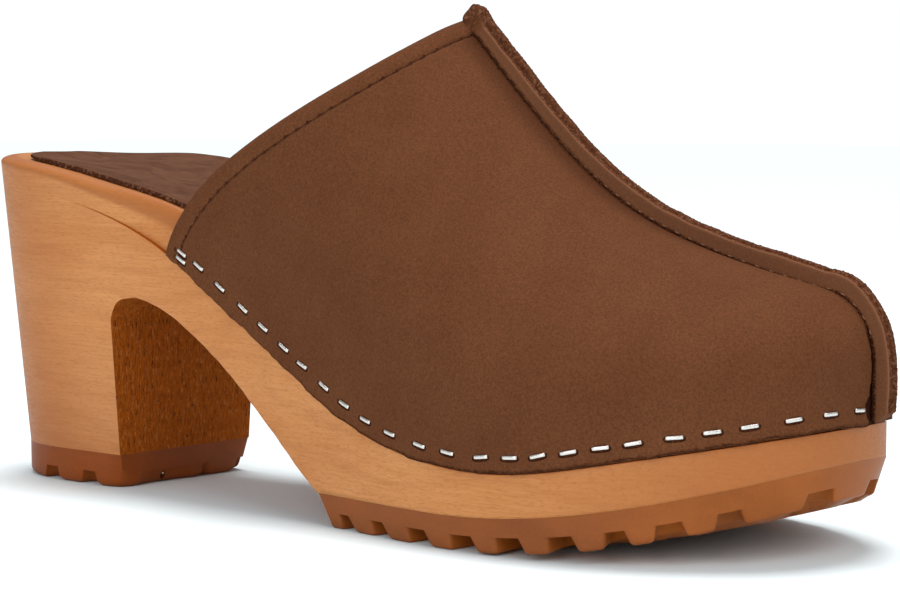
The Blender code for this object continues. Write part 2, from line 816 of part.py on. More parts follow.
def main():
    for old in list(bpy.data.objects):
        bpy.data.objects.remove(old)
    clog = collection_named("clog")
    helpers = collection_named("cutters")
    ridge = Ridge()
    edges = {side: LowerEdge(side) for side in (LATERAL, MEDIAL)}
    wooden_sole(clog)
    insole(clog)
    forefoot_tread(clog, helpers)
    heel_tread(clog, helpers)
    leather_upper(clog, helpers, ridge, edges)
    staples(clog, edges)
    shaded_smooth(clog)
    shaded_smooth(helpers)
    carrier = carried_by_empty(clog)
    for helper in helpers.objects:
        helper.parent = carrier


main()
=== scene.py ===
"""Dresses the clog: finished pieces, materials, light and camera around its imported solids.

Pieces are drawn in millimetres with the foot of the heel near x = 0, the toe towards +X, the
inner side of the foot towards +Y and the floor at z = 0. CENTRE then moves them to the frame.
"""

import math
from collections import namedtuple

import bmesh
import bpy
import numpy as np
from bpy.props import FloatProperty, FloatVectorProperty, IntProperty, PointerProperty
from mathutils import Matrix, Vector
from mathutils.geometry import delaunay_2d_cdt


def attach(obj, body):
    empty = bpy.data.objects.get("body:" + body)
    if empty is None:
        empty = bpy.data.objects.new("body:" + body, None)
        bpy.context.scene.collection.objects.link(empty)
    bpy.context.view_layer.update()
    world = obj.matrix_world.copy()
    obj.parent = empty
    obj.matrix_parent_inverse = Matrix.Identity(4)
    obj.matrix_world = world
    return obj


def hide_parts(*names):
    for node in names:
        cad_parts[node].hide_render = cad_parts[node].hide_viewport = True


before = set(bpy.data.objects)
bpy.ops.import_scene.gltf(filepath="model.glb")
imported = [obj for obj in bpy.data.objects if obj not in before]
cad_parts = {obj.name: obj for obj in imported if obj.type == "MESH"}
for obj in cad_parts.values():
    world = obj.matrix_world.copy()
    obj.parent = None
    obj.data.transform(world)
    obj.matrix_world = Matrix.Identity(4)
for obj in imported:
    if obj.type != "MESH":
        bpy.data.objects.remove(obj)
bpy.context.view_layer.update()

bl_info = {
    "name": "Clog",
    "version": (1, 0, 0),
    "blender": (4, 5, 0),
    "location": "3D View > Sidebar > Clog",
    "description": "Builds a wooden-soled clog with a stapled leather upper",
    "category": "Object",
}

MM = 0.001
CENTRE = np.array((-118.6, -0.8, 0.0))  # from the drawing's own zero to the middle of the shoe
LATERAL, MEDIAL = -1, 1

# Driving sizes of the drawing, in millimetres. Nearly all are those of the solids.
HEEL_BACK = -8.6
TOE_TIP = 241.2
LENGTH = TOE_TIP - HEEL_BACK
HEEL_TOP = 83.1
BREAST = 47.5
FOREFOOT_BACK = 123.0
TREAD = 7.5
TREAD_TOE = 8.4
HEEL_TREAD = 8.5
TREAD_START = 164.0
TOE_SPRING = 12.6
TREAD_BACK_SLOPE = 5.0
TREAD_TOE_SLOPE = 2.6
TREAD_SIDE_SLOPE = 0.3
TREAD_TOE_START = 195.0
GAP = 0.3
RABBET = 1.2
RABBET_FADE = (38.0, 72.0)
SPRING = 8.5
TOE_UPRIGHT = 12.0
UPRIGHT_CHANGE = (0.6, 1.0)
COLLAR_CORNER = 71.0
LEAN_POWER = 1.4
FULLNESS_COLLAR = 0.81
FULLNESS_TOE = 1.0
CROWN_COLLAR = 68.0
CROWN_TOE = 90.0
SECTION_CHANGE = (0.2, 1.0)
SEAM_TOE = 9.6
SEAM_DRIFT_POWER = 1.4
RIDGE_LEVEL = 150.0
TOE_SHIFT = 4.5
INSOLE_INSET = 4.2
FOOTBED_DISH = 1.6
DISH_WIDTHS = (8.0, 50.0)
EDGE_WIDTH = 3.4
HEEL_TAPER_WIDTH = 0.23
HEEL_TAPER_BACK = 0.14
SOLE_TAPER = 0.02
TAPER_END = 115.0
LUG_HEIGHT = 3.5
LUG_SLOPE = 0.3
NOTCH_ROUNDING = 0.9
STAPLE_RISE = 4.2
STAPLE_RISE_FRONT = 3.4
STAPLE_RISE_CHANGE = (45.0, 75.0)
STAPLE_PAIR = ((3.4, 3.5), (3.9, 1.9))
STAPLE_EDGE = 202.6  # length of the outer side's lower edge, on which the other places are measured
STAPLE_PLACES = (
    9.0, 16.6, 24.8, 31.9, 39.3, 45.9, 54.1, 61.9, 69.9, 78.8, 88.9, 97.6,
    107.3, 115.0, 122.0, 129.1, 136.1, 142.9, 151.4, 159.1, 166.8, 176.1, 185.1, 194.4,
)
SEAT = 0.02  # the treads and the insole touch the wood to within this
TIP_FLAT = 0.03  # the outline is cut flat this far inside its two ends

# Half-widths of the sole at the footbed, from its axis to either side.
Width = namedtuple("Width", "along lateral medial")
WIDTHS = (
    Width(HEEL_BACK, 0.0, 0.0),
    Width(-3.6, 16.2, 16.2),
    Width(3.2, 23.0, 22.8),
    Width(14.0, 27.8, 27.2),
    Width(32.0, 29.3, 28.4),
    Width(61.0, 30.8, 28.2),
    Width(86.0, 31.4, 26.4),
    Width(110.0, 33.2, 27.4),
    Width(134.0, 37.4, 33.0),
    Width(152.0, 40.9, 39.2),
    Width(172.0, 43.4, 43.6),
    Width(195.0, 42.8, 43.2),
    Width(214.0, 36.6, 36.6),
    Width(229.0, 26.8, 26.6),
    Width(238.0, 16.0, 16.0),
    Width(TOE_TIP, 0.0, 0.0),
)

# Heights over the floor along the sole, and along the upper's top line over the seam.
Height = namedtuple("Height", "along height")
FOOTBED = (
    Height(HEEL_BACK, HEEL_TOP),
    Height(20.0, 81.3),
    Height(45.0, 77.8),
    Height(70.0, 72.3),
    Height(90.0, 64.6),
    Height(110.0, 54.0),
    Height(130.0, 42.4),
    Height(150.0, 33.6),
    Height(170.0, 29.6),
    Height(190.0, 29.2),
    Height(210.0, 31.8),
    Height(230.0, 36.6),
    Height(TOE_TIP, 40.0),
)
LEDGE = (
    Height(HEEL_BACK, 77.5),
    Height(38.0, 71.0),
    Height(72.0, 58.4),
    Height(85.0, 50.4),
    Height(98.0, 43.0),
    Height(111.0, 35.6),
    Height(125.0, 28.2),
    Height(140.0, 22.4),
    Height(155.0, 19.1),
    Height(172.0, 17.5),
    Height(188.0, 18.3),
    Height(205.0, 21.2),
    Height(225.0, 25.0),
    Height(TOE_TIP, 28.2),
)
ARCH = (
    Height(BREAST, 42.8),
    Height(49.0, 45.6),
    Height(52.0, 47.6),
    Height(57.0, 48.2),
    Height(64.0, 46.9),
    Height(72.0, 43.7),
    Height(81.0, 38.5),
    Height(90.0, 32.6),
    Height(100.0, 24.9),
    Height(110.0, 17.0),
    Height(118.0, 10.6),
    Height(FOREFOOT_BACK, TREAD),
)
EDGE_DROP = (
    Height(HEEL_BACK, 1.5),
    Height(30.0, 2.2),
    Height(70.0, 4.4),
    Height(TOE_TIP, 4.4),
)

# The footbed's rim over its middle line: lower on the outer side, higher under the foot's arch.
Tilt = namedtuple("Tilt", "along lateral medial")
FOOTBED_TILT = (
    Tilt(HEEL_BACK, 0.0, 0.0),
    Tilt(12.0, -0.3, 0.0),
    Tilt(25.0, -0.5, 0.9),
    Tilt(45.0, -1.2, 2.0),
    Tilt(70.0, -1.0, 2.2),
    Tilt(95.0, -0.4, 1.5),
    Tilt(125.0, 0.0, 0.0),
    Tilt(160.0, 0.0, 0.0),
    Tilt(TOE_TIP, 0.0, 0.0),
)

RIDGE = (
    Height(139.7, 115.4),
    Height(151.3, 103.2),
    Height(162.2, 91.8),
    Height(183.8, 73.6),
    Height(204.0, 64.3),
    Height(219.5, 59.4),
    Height(230.0, 56.6),
)

# Notches between the lugs, cut in from the tread's edge. The width is at the underside.
Notch = namedtuple("Notch", "place width depth")
FOREFOOT_NOTCHES = (
    Notch(134.2, 4.8, 7.0),
    Notch(145.6, 5.4, 8.0),
    Notch(158.4, 6.8, 9.0),
    Notch(171.6, 7.4, 11.0),
    Notch(184.0, 7.2, 13.0),
    Notch(196.4, 6.8, 13.0),
    Notch(207.4, 5.6, 12.0),
    Notch(216.8, 6.8, 8.0),
    Notch(226.2, 6.4, 6.0),
    Notch(237.2, 8.8, 5.4),
)
HEEL_NOTCHES = (
    Notch(20.8, 6.6, 4.6),
    Notch(35.4, 6.4, 4.6),
)
BREAST_NOTCHES = (
    Notch(-8.0, 19.0, 1.2),
    Notch(6.4, 4.0, 1.6),
    Notch(23.4, 6.0, 3.0),
)


# Sizes and colours that can be changed

def length(name, description, default):
    """A length in metres, from its size in millimetres."""
    return FloatProperty(
        name=name, description=description, default=default * MM,
        min=0.0, precision=5, subtype="DISTANCE", unit="LENGTH",
    )


def colour(name, description, default):
    return FloatVectorProperty(
        name=name, description=description, default=default, size=3, min=0.0, max=1.0, subtype="COLOR",
    )


class ClogSizes(bpy.types.PropertyGroup):
    """Sizes of the clog's leather, seams and fastenings."""

    leather: length("Leather", "Thickness of the upper's wall", 2.0)
    insole: length("Insole", "Thickness of the insole", 1.3)
    hem: length("Hem", "Width of the turned hem along the collar", 4.0)
    hem_puff: length("Hem Puff", "How far the hem swells over the leather", 0.35)
    seam_width: length("Seam Width", "Thickness of the raised centre seam", 3.4)
    seam_near: length("Seam Height", "Height of the centre seam on its outer side", 3.2)
    seam_far: length("Seam Far Height", "Height of the centre seam on its inner side", 3.6)
    stitch_pitch: length("Stitch Pitch", "Distance from stitch to stitch", 3.4)
    stitch_length: length("Stitch Length", "Length of a stitch that shows", 2.6)
    thread: length("Thread", "Thickness of the sewing thread", 0.30)
    staple_length: length("Staple Length", "Length of a staple's crown", 3.9)
    staple_width: length("Staple Width", "Width of a staple's flat wire", 0.85)
    staple_thickness: length("Staple Thickness", "Thickness of a staple's flat wire", 0.5)
    columns: IntProperty(name="Columns", description="Steps along the upper", default=420, min=60)
    rows: IntProperty(name="Rows", description="Steps up each side of the upper", default=48, min=20)


class ClogColours(bpy.types.PropertyGroup):
    """Colours of the clog's finishes."""

    leather: colour("Leather", "Brown of the upper", (0.1035, 0.0350, 0.0138))
    leather_light: colour("Leather Light", "Lighter brown of its mottling", (0.1180, 0.0420, 0.0170))
    leather_raw: colour("Leather Raw", "Reddish brown of cut leather", (0.1050, 0.0340, 0.0140))
    # The tan below is that of rubbed edges, and also paints light on the centre seam's near face and a
    # highlight on its stitch beads.
    leather_worn_and_lit: colour("Leather Worn", "Tan of rubbed edges", (0.240, 0.105, 0.055))
    # The dark brown below also paints shade in the toe's opening, in stitch holes and lines, at the centre
    # seam's foot and round the staples.
    leather_dark: colour("Leather Dark", "Nearly black brown of holes and raw edges", (0.030, 0.0078, 0.0026))
    leather_flesh: colour("Leather Flesh", "Rough inner face of the upper", (0.150, 0.074, 0.040))
    insole: colour("Insole", "Brown of the insole", (0.1240, 0.0435, 0.0170))
    wood: colour("Wood", "Light face of the wood", (0.500, 0.185, 0.0490))
    wood_light: colour("Wood Light", "Paler patches of the wood", (0.560, 0.234, 0.0725))
    # The darker brown below also paints shade on the footbed's rounded rim and towards the toe.
    wood_dark: colour("Wood Dark", "Darker bands and pores of the wood", (0.300, 0.085, 0.016))
    wood_sawn: colour("Wood Sawn", "Sawn faces under the arch", (0.360, 0.082, 0.005))
    wood_shade: colour("Wood Shade", "Dark marks of the sawn faces", (0.110, 0.022, 0.002))
    rubber: colour("Rubber", "Gum rubber of the treads", (0.235, 0.0690, 0.0190))
    # painted light: the lighter orange below makes the notches and the toe glow as if light came through the
    # rubber
    rubber_glow: colour("Rubber Deep", "Rubber inside the notches", (0.400, 0.1100, 0.0140))
    rubber_heel: colour("Rubber Heel", "Deeper brown of the heel's tread", (0.215, 0.0500, 0.0090))
    steel: colour("Steel", "Bright wire of the staples", (0.94, 0.85, 0.77))
    thread: colour("Thread", "Dark sewing thread", (0.042, 0.0110, 0.0055))
    floor: colour("Floor", "Pale floor", (0.815, 0.89, 0.91))


# Curves through the tables

def natural_spline(knots, values):
    """The natural cubic spline through the knots, as a function of numbers or arrays."""
    knots = np.asarray(knots, float)
    values = np.asarray(values, float)
    step = np.diff(knots)
    matrix = np.eye(len(knots))
    target = np.zeros(len(knots))
    for i in range(1, len(knots) - 1):
        matrix[i, i - 1:i + 2] = step[i - 1], 2 * (step[i - 1] + step[i]), step[i]
        slopes = np.diff(values)[i - 1:i + 1] / step[i - 1:i + 1]
        target[i] = 6 * (slopes[1] - slopes[0])
    bend = np.linalg.solve(matrix, target)

    def curve(at):
        at = np.asarray(at, float)
        i = np.clip(np.searchsorted(knots, at) - 1, 0, len(step) - 1)
        left, right, h = knots[i + 1] - at, at - knots[i], step[i]
        cubic = (bend[i] * left ** 3 + bend[i + 1] * right ** 3) / (6 * h)
        start = values[i] / h - bend[i] * h / 6
        end = values[i + 1] / h - bend[i + 1] * h / 6
        return cubic + start * left + end * right

    return curve


def profile(rows):
    return natural_spline([row.along for row in rows], [row.height for row in rows])


def turn_at(along):
    """Angle from 0 at the heel to pi at the toe, which spreads both round ends."""
    return np.arccos(np.clip(1 - 2 * (along - HEEL_BACK) / LENGTH, -1.0, 1.0))


def along_at(turn):
    return HEEL_BACK + LENGTH * (1 - np.cos(turn)) / 2


def ramp(start, end, at):
    """0 before start, 1 after end, and a smooth step between."""
    share = np.clip((np.asarray(at, float) - start) / (end - start), 0.0, 1.0)
    return share * share * (3 - 2 * share)


footbed = profile(FOOTBED)
ledge = profile(LEDGE)
arch = profile(ARCH)
edge_drop = profile(EDGE_DROP)
tilt = {
    LATERAL: natural_spline([row.along for row in FOOTBED_TILT], [row.lateral for row in FOOTBED_TILT]),
    MEDIAL: natural_spline([row.along for row in FOOTBED_TILT], [row.medial for row in FOOTBED_TILT]),
}
half_width = {
    LATERAL: natural_spline([turn_at(row.along) for row in WIDTHS], [row.lateral for row in WIDTHS]),
    MEDIAL: natural_spline([turn_at(row.along) for row in WIDTHS], [row.medial for row in WIDTHS]),
}


def lift_share(along):
    return np.maximum(0.0, along - TREAD_START) / (TOE_TIP - TREAD_START)


def toe_lift(along):
    """Height of the tread's underside, which rolls up towards the toe."""
    return TOE_SPRING * lift_share(along) ** 2


def wood_line(along):
    """Height of the line where the wood meets the forefoot tread."""
    return TREAD + (TREAD_TOE - TREAD) * lift_share(along) + toe_lift(along)


def drift_share(along):
    return np.maximum(0.0, along - RIDGE_LEVEL) / (TOE_TIP - RIDGE_LEVEL)


def axis_shift(along):
    return TOE_SHIFT * drift_share(along) ** 2


def seam_side(along):
    """How far the centre seam lies on the inner side."""
    return SEAM_TOE * drift_share(along) ** SEAM_DRIFT_POWER


def outline(turn):
    """Plan of the sole. A turn from 0 to pi runs up the outer side, from pi to 2 pi back down."""
    turn = np.asarray(turn, float)
    outer = turn <= math.pi
    folded = np.where(outer, turn, 2 * math.pi - turn)
    along = along_at(folded)
    across = np.where(outer, -half_width[LATERAL](folded), half_width[MEDIAL](folded))
    return np.stack((along, axis_shift(along) + across), axis=-1)


def inset_outline(turn, inset):
    """Points of the outline moved inwards, square to it. A negative inset moves them out."""
    step = 1e-3
    ahead = outline(turn + step) - outline(turn - step)
    ahead /= np.linalg.norm(ahead, axis=-1, keepdims=True)
    inward = np.stack((-ahead[..., 1], ahead[..., 0]), axis=-1)
    return outline(turn) + inward * np.asarray(inset)[..., None]


def side_turn(side, turn):
    return turn if side == LATERAL else 2 * math.pi - turn


def tapered(plan, height):
    """The heel narrows towards the floor, from behind and from both sides."""
    along, across = plan[..., 0], plan[..., 1]
    height = np.broadcast_to(height, along.shape)
    share = 1 - np.minimum(height, HEEL_TOP) / HEEL_TOP
    loss = SOLE_TAPER + (HEEL_TAPER_WIDTH - SOLE_TAPER) * (1 - ramp(BREAST, TAPER_END, along))
    behind = BREAST - (BREAST - along) * (1 - HEEL_TAPER_BACK * share)
    along = np.where(along < BREAST, behind, along)
    return np.stack((along, across * (1 - loss * share), height), axis=-1)


def stations(start, end, count):
    """Turns from one place along the sole to another, closest together at the round ends."""
    return np.linspace(turn_at(start), turn_at(end), count)


def unit(vectors):
    return vectors / np.maximum(np.linalg.norm(vectors, axis=-1, keepdims=True), 1e-9)


def ripple(points, size, seed, count=7):
    """Smooth noise between about -1 and 1 with bumps about size millimetres wide."""
    draw = np.random.default_rng(seed)
    directions = unit(draw.normal(size=(count, points.shape[-1])))
    phases = draw.uniform(0, 2 * math.pi, count)
    return np.sin(points @ directions.T * (math.pi / size) + phases).mean(axis=-1) * 1.6


def bump(distance, width):
    """A soft bell, 1 in its middle and gone about two widths away."""
    return np.exp(-(distance / width) ** 2)


# Meshes

def piece_from(name, points, faces, materials, smooth_angle=40.0):
    """Makes an object of points in millimetres. faces is a list of (corners, material number)."""
    mesh = bpy.data.meshes.new(name)
    mesh.from_pydata(((np.asarray(points) + CENTRE) * MM).tolist(), [], [corners for corners, _ in faces])
    for material in materials:
        mesh.materials.append(material)
    mesh.polygons.foreach_set("material_index", [number for _, number in faces])
    mesh.shade_smooth()
    mesh.set_sharp_from_angle(angle=math.radians(smooth_angle))
    piece = bpy.data.objects.new(name, mesh)
    bpy.context.scene.collection.objects.link(piece)
    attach(piece, "root")
    return piece


def mask(piece, name, values):
    """Stores a number for each point, which the materials read by its name."""
    stored = piece.data.attributes.new(name, "FLOAT", "POINT")
    stored.data.foreach_set("value", np.asarray(values, np.float32))


def grid_faces(rows, columns, start=0, closed=False, number=0):
    """Quads between rows of points that are numbered row by row from start."""
    faces = []
    for row in range(rows - 1):
        for column in range(columns if closed else columns - 1):
            ahead = (column + 1) % columns
            here, there = start + row * columns, start + (row + 1) * columns
            faces.append(((here + column, here + ahead, there + ahead, there + column), number))
    return faces


def welded(piece, distance=1e-3):
    """Joins points that fall together and turns all faces outwards."""
    bm = bmesh.new()
    bm.from_mesh(piece.data)
    bmesh.ops.remove_doubles(bm, verts=bm.verts, dist=distance * MM)
    bmesh.ops.dissolve_degenerate(bm, dist=distance * MM * 0.1, edges=bm.edges)
    bmesh.ops.recalc_face_normals(bm, faces=bm.faces)
    bm.to_mesh(piece.data)
    bm.free()
    return piece


def tubes(paths, ups, half_width, half_height, sides=8):
    """Closed tubes along paths of equal length, whose section is a rounded bar. Returns points and faces."""
    paths, ups = np.asarray(paths), np.asarray(ups)
    count, steps = paths.shape[:2]
    tangent = unit(np.gradient(paths, axis=1))
    across = unit(np.cross(tangent, ups))
    over = np.cross(across, tangent)
    turns = np.linspace(0, 2 * math.pi, sides, endpoint=False) + math.pi / sides
    squared = np.abs(np.stack((np.cos(turns), np.sin(turns)))) ** 0.6
    squared *= np.sign(np.stack((np.cos(turns), np.sin(turns))))
    points = paths[:, :, None] + across[:, :, None] * (half_width * squared[0])[:, None]
    points = points + over[:, :, None] * (half_height * squared[1])[:, None]
    faces = []
    for number in range(count):
        start = number * steps * sides
        faces += grid_faces(steps, sides, start, closed=True)
        faces.append((tuple(range(start, start + sides))[::-1], 0))
        end = start + (steps - 1) * sides
        faces.append((tuple(range(end, end + sides)), 0))
    return points.reshape(-1, 3), faces


# Nodes

def feed(tree, socket, value):
    """Links a socket to another one, or sets its own value."""
    if isinstance(value, bpy.types.NodeSocket):
        tree.links.new(value, socket)
    else:
        socket.default_value = value


def node(tree, kind, inputs=None, **settings):
    made = tree.nodes.new(kind)
    for name, value in settings.items():
        setattr(made, name, value)
    for name, value in (inputs or {}).items():
        feed(tree, made.inputs[name], value)
    return made


def sums(tree, operation, first, second=0.0):
    return node(tree, "ShaderNodeMath", {0: first, 1: second}, operation=operation).outputs[0]


def spread(tree, value, low, high, to_low=0.0, to_high=1.0):
    """Maps low..high to to_low..to_high and holds it there."""
    inputs = {"Value": value, "From Min": low, "From Max": high, "To Min": to_low, "To Max": to_high}
    return node(tree, "ShaderNodeMapRange", inputs).outputs[0]


def blended(tree, share, first, second, mode="MIX"):
    """Mixes two colours."""
    made = node(tree, "ShaderNodeMix", data_type="RGBA", blend_type=mode)
    for number, value in ((0, share), (6, first), (7, second)):
        feed(tree, made.inputs[number], value)
    return made.outputs[2]


def place_mm(tree, stretch=(1.0, 1.0, 1.0)):
    """Place on the shoe in millimetres, stretched along its axes."""
    place = node(tree, "ShaderNodeTexCoord").outputs["Object"]
    scale = tuple(value / MM for value in stretch)
    return node(tree, "ShaderNodeVectorMath", {0: place, 1: scale}, operation="MULTIPLY").outputs[0]


def cloud(tree, place, scale, detail=2.0, roughness=0.5, distortion=0.0):
    inputs = {"Vector": place, "Scale": scale, "Detail": detail, "Roughness": roughness}
    inputs["Distortion"] = distortion
    return node(tree, "ShaderNodeTexNoise", inputs).outputs[0]


def painted(tree, name):
    """The mask of that name that a piece carries, or 0."""
    return node(tree, "ShaderNodeAttribute", attribute_name=name).outputs["Fac"]


def bumped(tree, height, distance, strength=1.0, over=None):
    """A bumped normal, over another one where that is given."""
    inputs = {"Height": height, "Distance": distance * MM, "Strength": strength}
    if over:
        inputs["Normal"] = over
    return node(tree, "ShaderNodeBump", inputs).outputs[0]


def new_group(name, inputs, outputs):
    """An empty shader group with number sockets. Returns its tree, inputs and outputs."""
    tree = bpy.data.node_groups.new(name, "ShaderNodeTree")
    for socket, default in inputs.items():
        made = tree.interface.new_socket(socket, in_out="INPUT", socket_type="NodeSocketFloat")
        made.default_value = default
    for socket in outputs:
        tree.interface.new_socket(socket, in_out="OUTPUT", socket_type="NodeSocketFloat")
    return tree, tree.nodes.new("NodeGroupInput").outputs, tree.nodes.new("NodeGroupOutput").inputs


def use_group(tree, group, inputs=None):
    made = tree.nodes.new("ShaderNodeGroup")
    made.node_tree = group
    for name, value in (inputs or {}).items():
        feed(tree, made.inputs[name], value)
    return made.outputs


def new_material(name, **sockets):
    """A material whose constant values are set on its Principled shader. Returns it, its tree and shader."""
    made = bpy.data.materials.new(name)
    made.use_nodes = True
    shader = made.node_tree.nodes["Principled BSDF"]
    for socket, value in sockets.items():
        shader.inputs[socket.replace("_", " ")].default_value = value
    return made, made.node_tree, shader


def opaque(rgb):
    return (*rgb, 1.0)


# Effects that several finishes share

def hide_grain():
    """Mottling and fine grain of tanned leather."""
    found = bpy.data.node_groups.get("hide_grain")
    if found:
        return found
    sizes = {"Patch": 14.0, "Grain": 0.45}
    tree, given, put = new_group("hide_grain", sizes, ("Mottle", "Speckle", "Height"))
    place = place_mm(tree)
    patch = cloud(tree, place, sums(tree, "DIVIDE", 1.0, given["Patch"]), detail=3.0, roughness=0.6)
    grain_scale = sums(tree, "DIVIDE", 1.0, given["Grain"])
    fine = cloud(tree, place, grain_scale, detail=3.0, roughness=0.65)
    pores = node(tree, "ShaderNodeTexVoronoi", {"Vector": place, "Scale": grain_scale}).outputs["Distance"]
    feed(tree, put["Mottle"], spread(tree, patch, 0.3, 0.7))
    feed(tree, put["Speckle"], spread(tree, fine, 0.25, 0.75))
    feed(tree, put["Height"], sums(tree, "ADD", fine, sums(tree, "MULTIPLY", pores, 0.5)))
    return tree


def raw_fibre():
    """Torn fibres of a cut leather edge: light flecks, dark pits and a rough height."""
    found = bpy.data.node_groups.get("raw_fibre")
    if found:
        return found
    tree, given, put = new_group("raw_fibre", {"Size": 0.5}, ("Fleck", "Pit", "Height"))
    place = place_mm(tree)
    scale = sums(tree, "DIVIDE", 1.0, given["Size"])
    lumps = cloud(tree, place, scale, detail=4.0, roughness=0.75, distortion=0.6)
    flecks = cloud(tree, place, sums(tree, "MULTIPLY", scale, 1.15), detail=2.0, roughness=0.6)
    feed(tree, put["Fleck"], spread(tree, flecks, 0.52, 0.66, 0.0, 0.65))
    feed(tree, put["Pit"], spread(tree, lumps, 0.46, 0.36, 0.0, 0.8))
    feed(tree, put["Height"], lumps)
    return tree


def stitch_line():
    """A sewn line. Gap is the distance from it and Run the length along it, both in millimetres."""
    found = bpy.data.node_groups.get("stitch_line")
    if found:
        return found
    given = {"Gap": 9.0, "Run": 0.0, "Pitch": 3.4, "Hole": 0.6, "Line": 0.5}
    tree, given, put = new_group("stitch_line", given, ("Hole", "Line"))
    wander = spread(tree, cloud(tree, place_mm(tree), 0.7), 0.3, 0.7, -0.16, 0.16)
    gap = sums(tree, "ABSOLUTE", sums(tree, "ADD", given["Gap"], wander))
    stitch = sums(tree, "FRACT", sums(tree, "DIVIDE", given["Run"], given["Pitch"]))
    along = sums(tree, "MULTIPLY", sums(tree, "SUBTRACT", stitch, 0.5), given["Pitch"])
    square = sums(tree, "ADD", sums(tree, "MULTIPLY", gap, gap), sums(tree, "MULTIPLY", along, along))
    away = sums(tree, "SQRT", square)
    middle = sums(tree, "MULTIPLY", given["Hole"], 0.4)
    feed(tree, put["Hole"], spread(tree, away, given["Hole"], middle))
    feed(tree, put["Line"], spread(tree, gap, given["Line"], 0.0))
    return tree


def alder_grain():
    """Growth bands, fibres and short pores of alder, whose grain runs along the shoe."""
    found = bpy.data.node_groups.get("alder_grain")
    if found:
        return found
    tree, given, put = new_group("alder_grain", {"Band": 9.0}, ("Band", "Fibre", "Pore"))
    warp = cloud(tree, place_mm(tree, (0.012, 0.03, 0.03)), 1.0, detail=2.0)
    across = node(tree, "ShaderNodeSeparateXYZ", {0: place_mm(tree)}).outputs
    level = sums(tree, "ADD", across["Z"], sums(tree, "MULTIPLY", across["Y"], 0.35))
    level = sums(tree, "ADD", level, sums(tree, "MULTIPLY", warp, 60.0))
    wave = sums(tree, "SINE", sums(tree, "DIVIDE", sums(tree, "MULTIPLY", level, 6.283), given["Band"]))
    fibre = cloud(tree, place_mm(tree, (0.05, 0.6, 1.8)), 1.0, detail=4.0, roughness=0.6)
    pore = cloud(tree, place_mm(tree, (0.55, 2.8, 2.8)), 1.0, detail=2.0, roughness=0.5)
    feed(tree, put["Band"], spread(tree, wave, 0.3, 1.0))
    feed(tree, put["Fibre"], spread(tree, fibre, 0.38, 0.68))
    feed(tree, put["Pore"], spread(tree, pore, 0.50, 0.70))
    return tree


# Finishes

def nubuck(colours, sizes=None):
    """Matt brown leather. Reads the masks crease, painted shade in grooves and openings, and worn, a rubbed
    edge that also carries painted light.

    With sizes it is the sewn panel, which also reads the mask shade, a soft dark fold, and how far
    each point is from its stitch lines and over its raw lower edge.
    """
    name = "sewn_nubuck" if sizes else "nubuck"
    found = bpy.data.materials.get(name)
    if found:
        return found
    made, tree, shader = new_material(name, Roughness=0.8, Specular_IOR_Level=0.04)
    grain = use_group(tree, hide_grain(), {"Patch": 16.0, "Grain": 0.50})
    tone = blended(tree, grain["Mottle"], opaque(colours.leather), opaque(colours.leather_light))
    shade = spread(tree, grain["Speckle"], 0.0, 1.0, 0.66, 1.32)
    tone = blended(tree, 1.0, tone, shade, "MULTIPLY")
    normal = bumped(tree, grain["Height"], 0.10, 0.5)
    # painted light and wear: lighter towards tan on rubbed edges and on the centre seam's near face
    tone = blended(tree, painted(tree, "worn"), tone, opaque(colours.leather_worn_and_lit))
    if sizes:
        tone = blended(tree, painted(tree, "shade"), tone, opaque(colours.leather_dark))
        pitch = sizes.stitch_pitch / MM
        # painted shade in the stitch holes and along each stitched line: the hem's groove and the crease
        # beside the centre seam
        for line, depth in (("hem", 0.62), ("seam", 0.35)):
            given = {"Gap": painted(tree, line + "_gap"), "Run": painted(tree, line + "_run")}
            given.update(Pitch=pitch, Line=0.24, Hole=0.42)
            sewn = use_group(tree, stitch_line(), given)
            hollow_shade = sums(tree, "MAXIMUM", sewn["Hole"], sums(tree, "MULTIPLY", sewn["Line"], depth))
            tone = blended(tree, hollow_shade, tone, opaque(colours.leather_dark))
            normal = bumped(tree, sums(tree, "SUBTRACT", 1.0, hollow_shade), 0.25, 0.8, normal)
        fibre = use_group(tree, raw_fibre(), {"Size": 0.8})
        ragged = spread(tree, fibre["Height"], 0.3, 0.7, -0.45, 0.45)
        rise = sums(tree, "ADD", painted(tree, "edge_rise"), ragged)
        tone = blended(tree, spread(tree, rise, 0.8, 0.2, 0.0, 0.85), tone, opaque(colours.leather_dark))
    # painted shade: the crease mask darkens the centre seam's foot and the toe's opening, with a torn edge
    torn = spread(tree, grain["Height"], 0.3, 0.9, -0.35, 0.35)
    crease = spread(tree, sums(tree, "ADD", painted(tree, "crease"), torn), 0.4, 0.75)
    tone = blended(tree, crease, tone, opaque(colours.leather_dark))
    feed(tree, shader.inputs["Base Color"], tone)
    feed(tree, shader.inputs["Roughness"], spread(tree, grain["Mottle"], 0.0, 1.0, 0.76, 0.86))
    feed(tree, shader.inputs["Normal"], normal)
    return made


def raw_leather(colours):
    """Rough cut edges of the leather."""
    found = bpy.data.materials.get("raw_leather")
    if found:
        return found
    made, tree, shader = new_material("raw_leather", Roughness=0.92, Specular_IOR_Level=0.06)
    fibre = use_group(tree, raw_fibre(), {"Size": 0.95})
    tone = blended(tree, painted(tree, "crease"), opaque(colours.leather_raw), opaque(colours.leather_dark))
    tone = blended(tree, fibre["Pit"], tone, opaque(colours.leather_dark))
    # wear and painted light: lighter towards tan along the centre seam's raw top edge
    tone = blended(tree, painted(tree, "worn"), tone, opaque(colours.leather_worn_and_lit))
    tone = blended(tree, fibre["Fleck"], tone, opaque(colours.leather_worn_and_lit))
    feed(tree, shader.inputs["Base Color"], tone)
    feed(tree, shader.inputs["Normal"], bumped(tree, fibre["Height"], 0.5, 0.9))
    return made


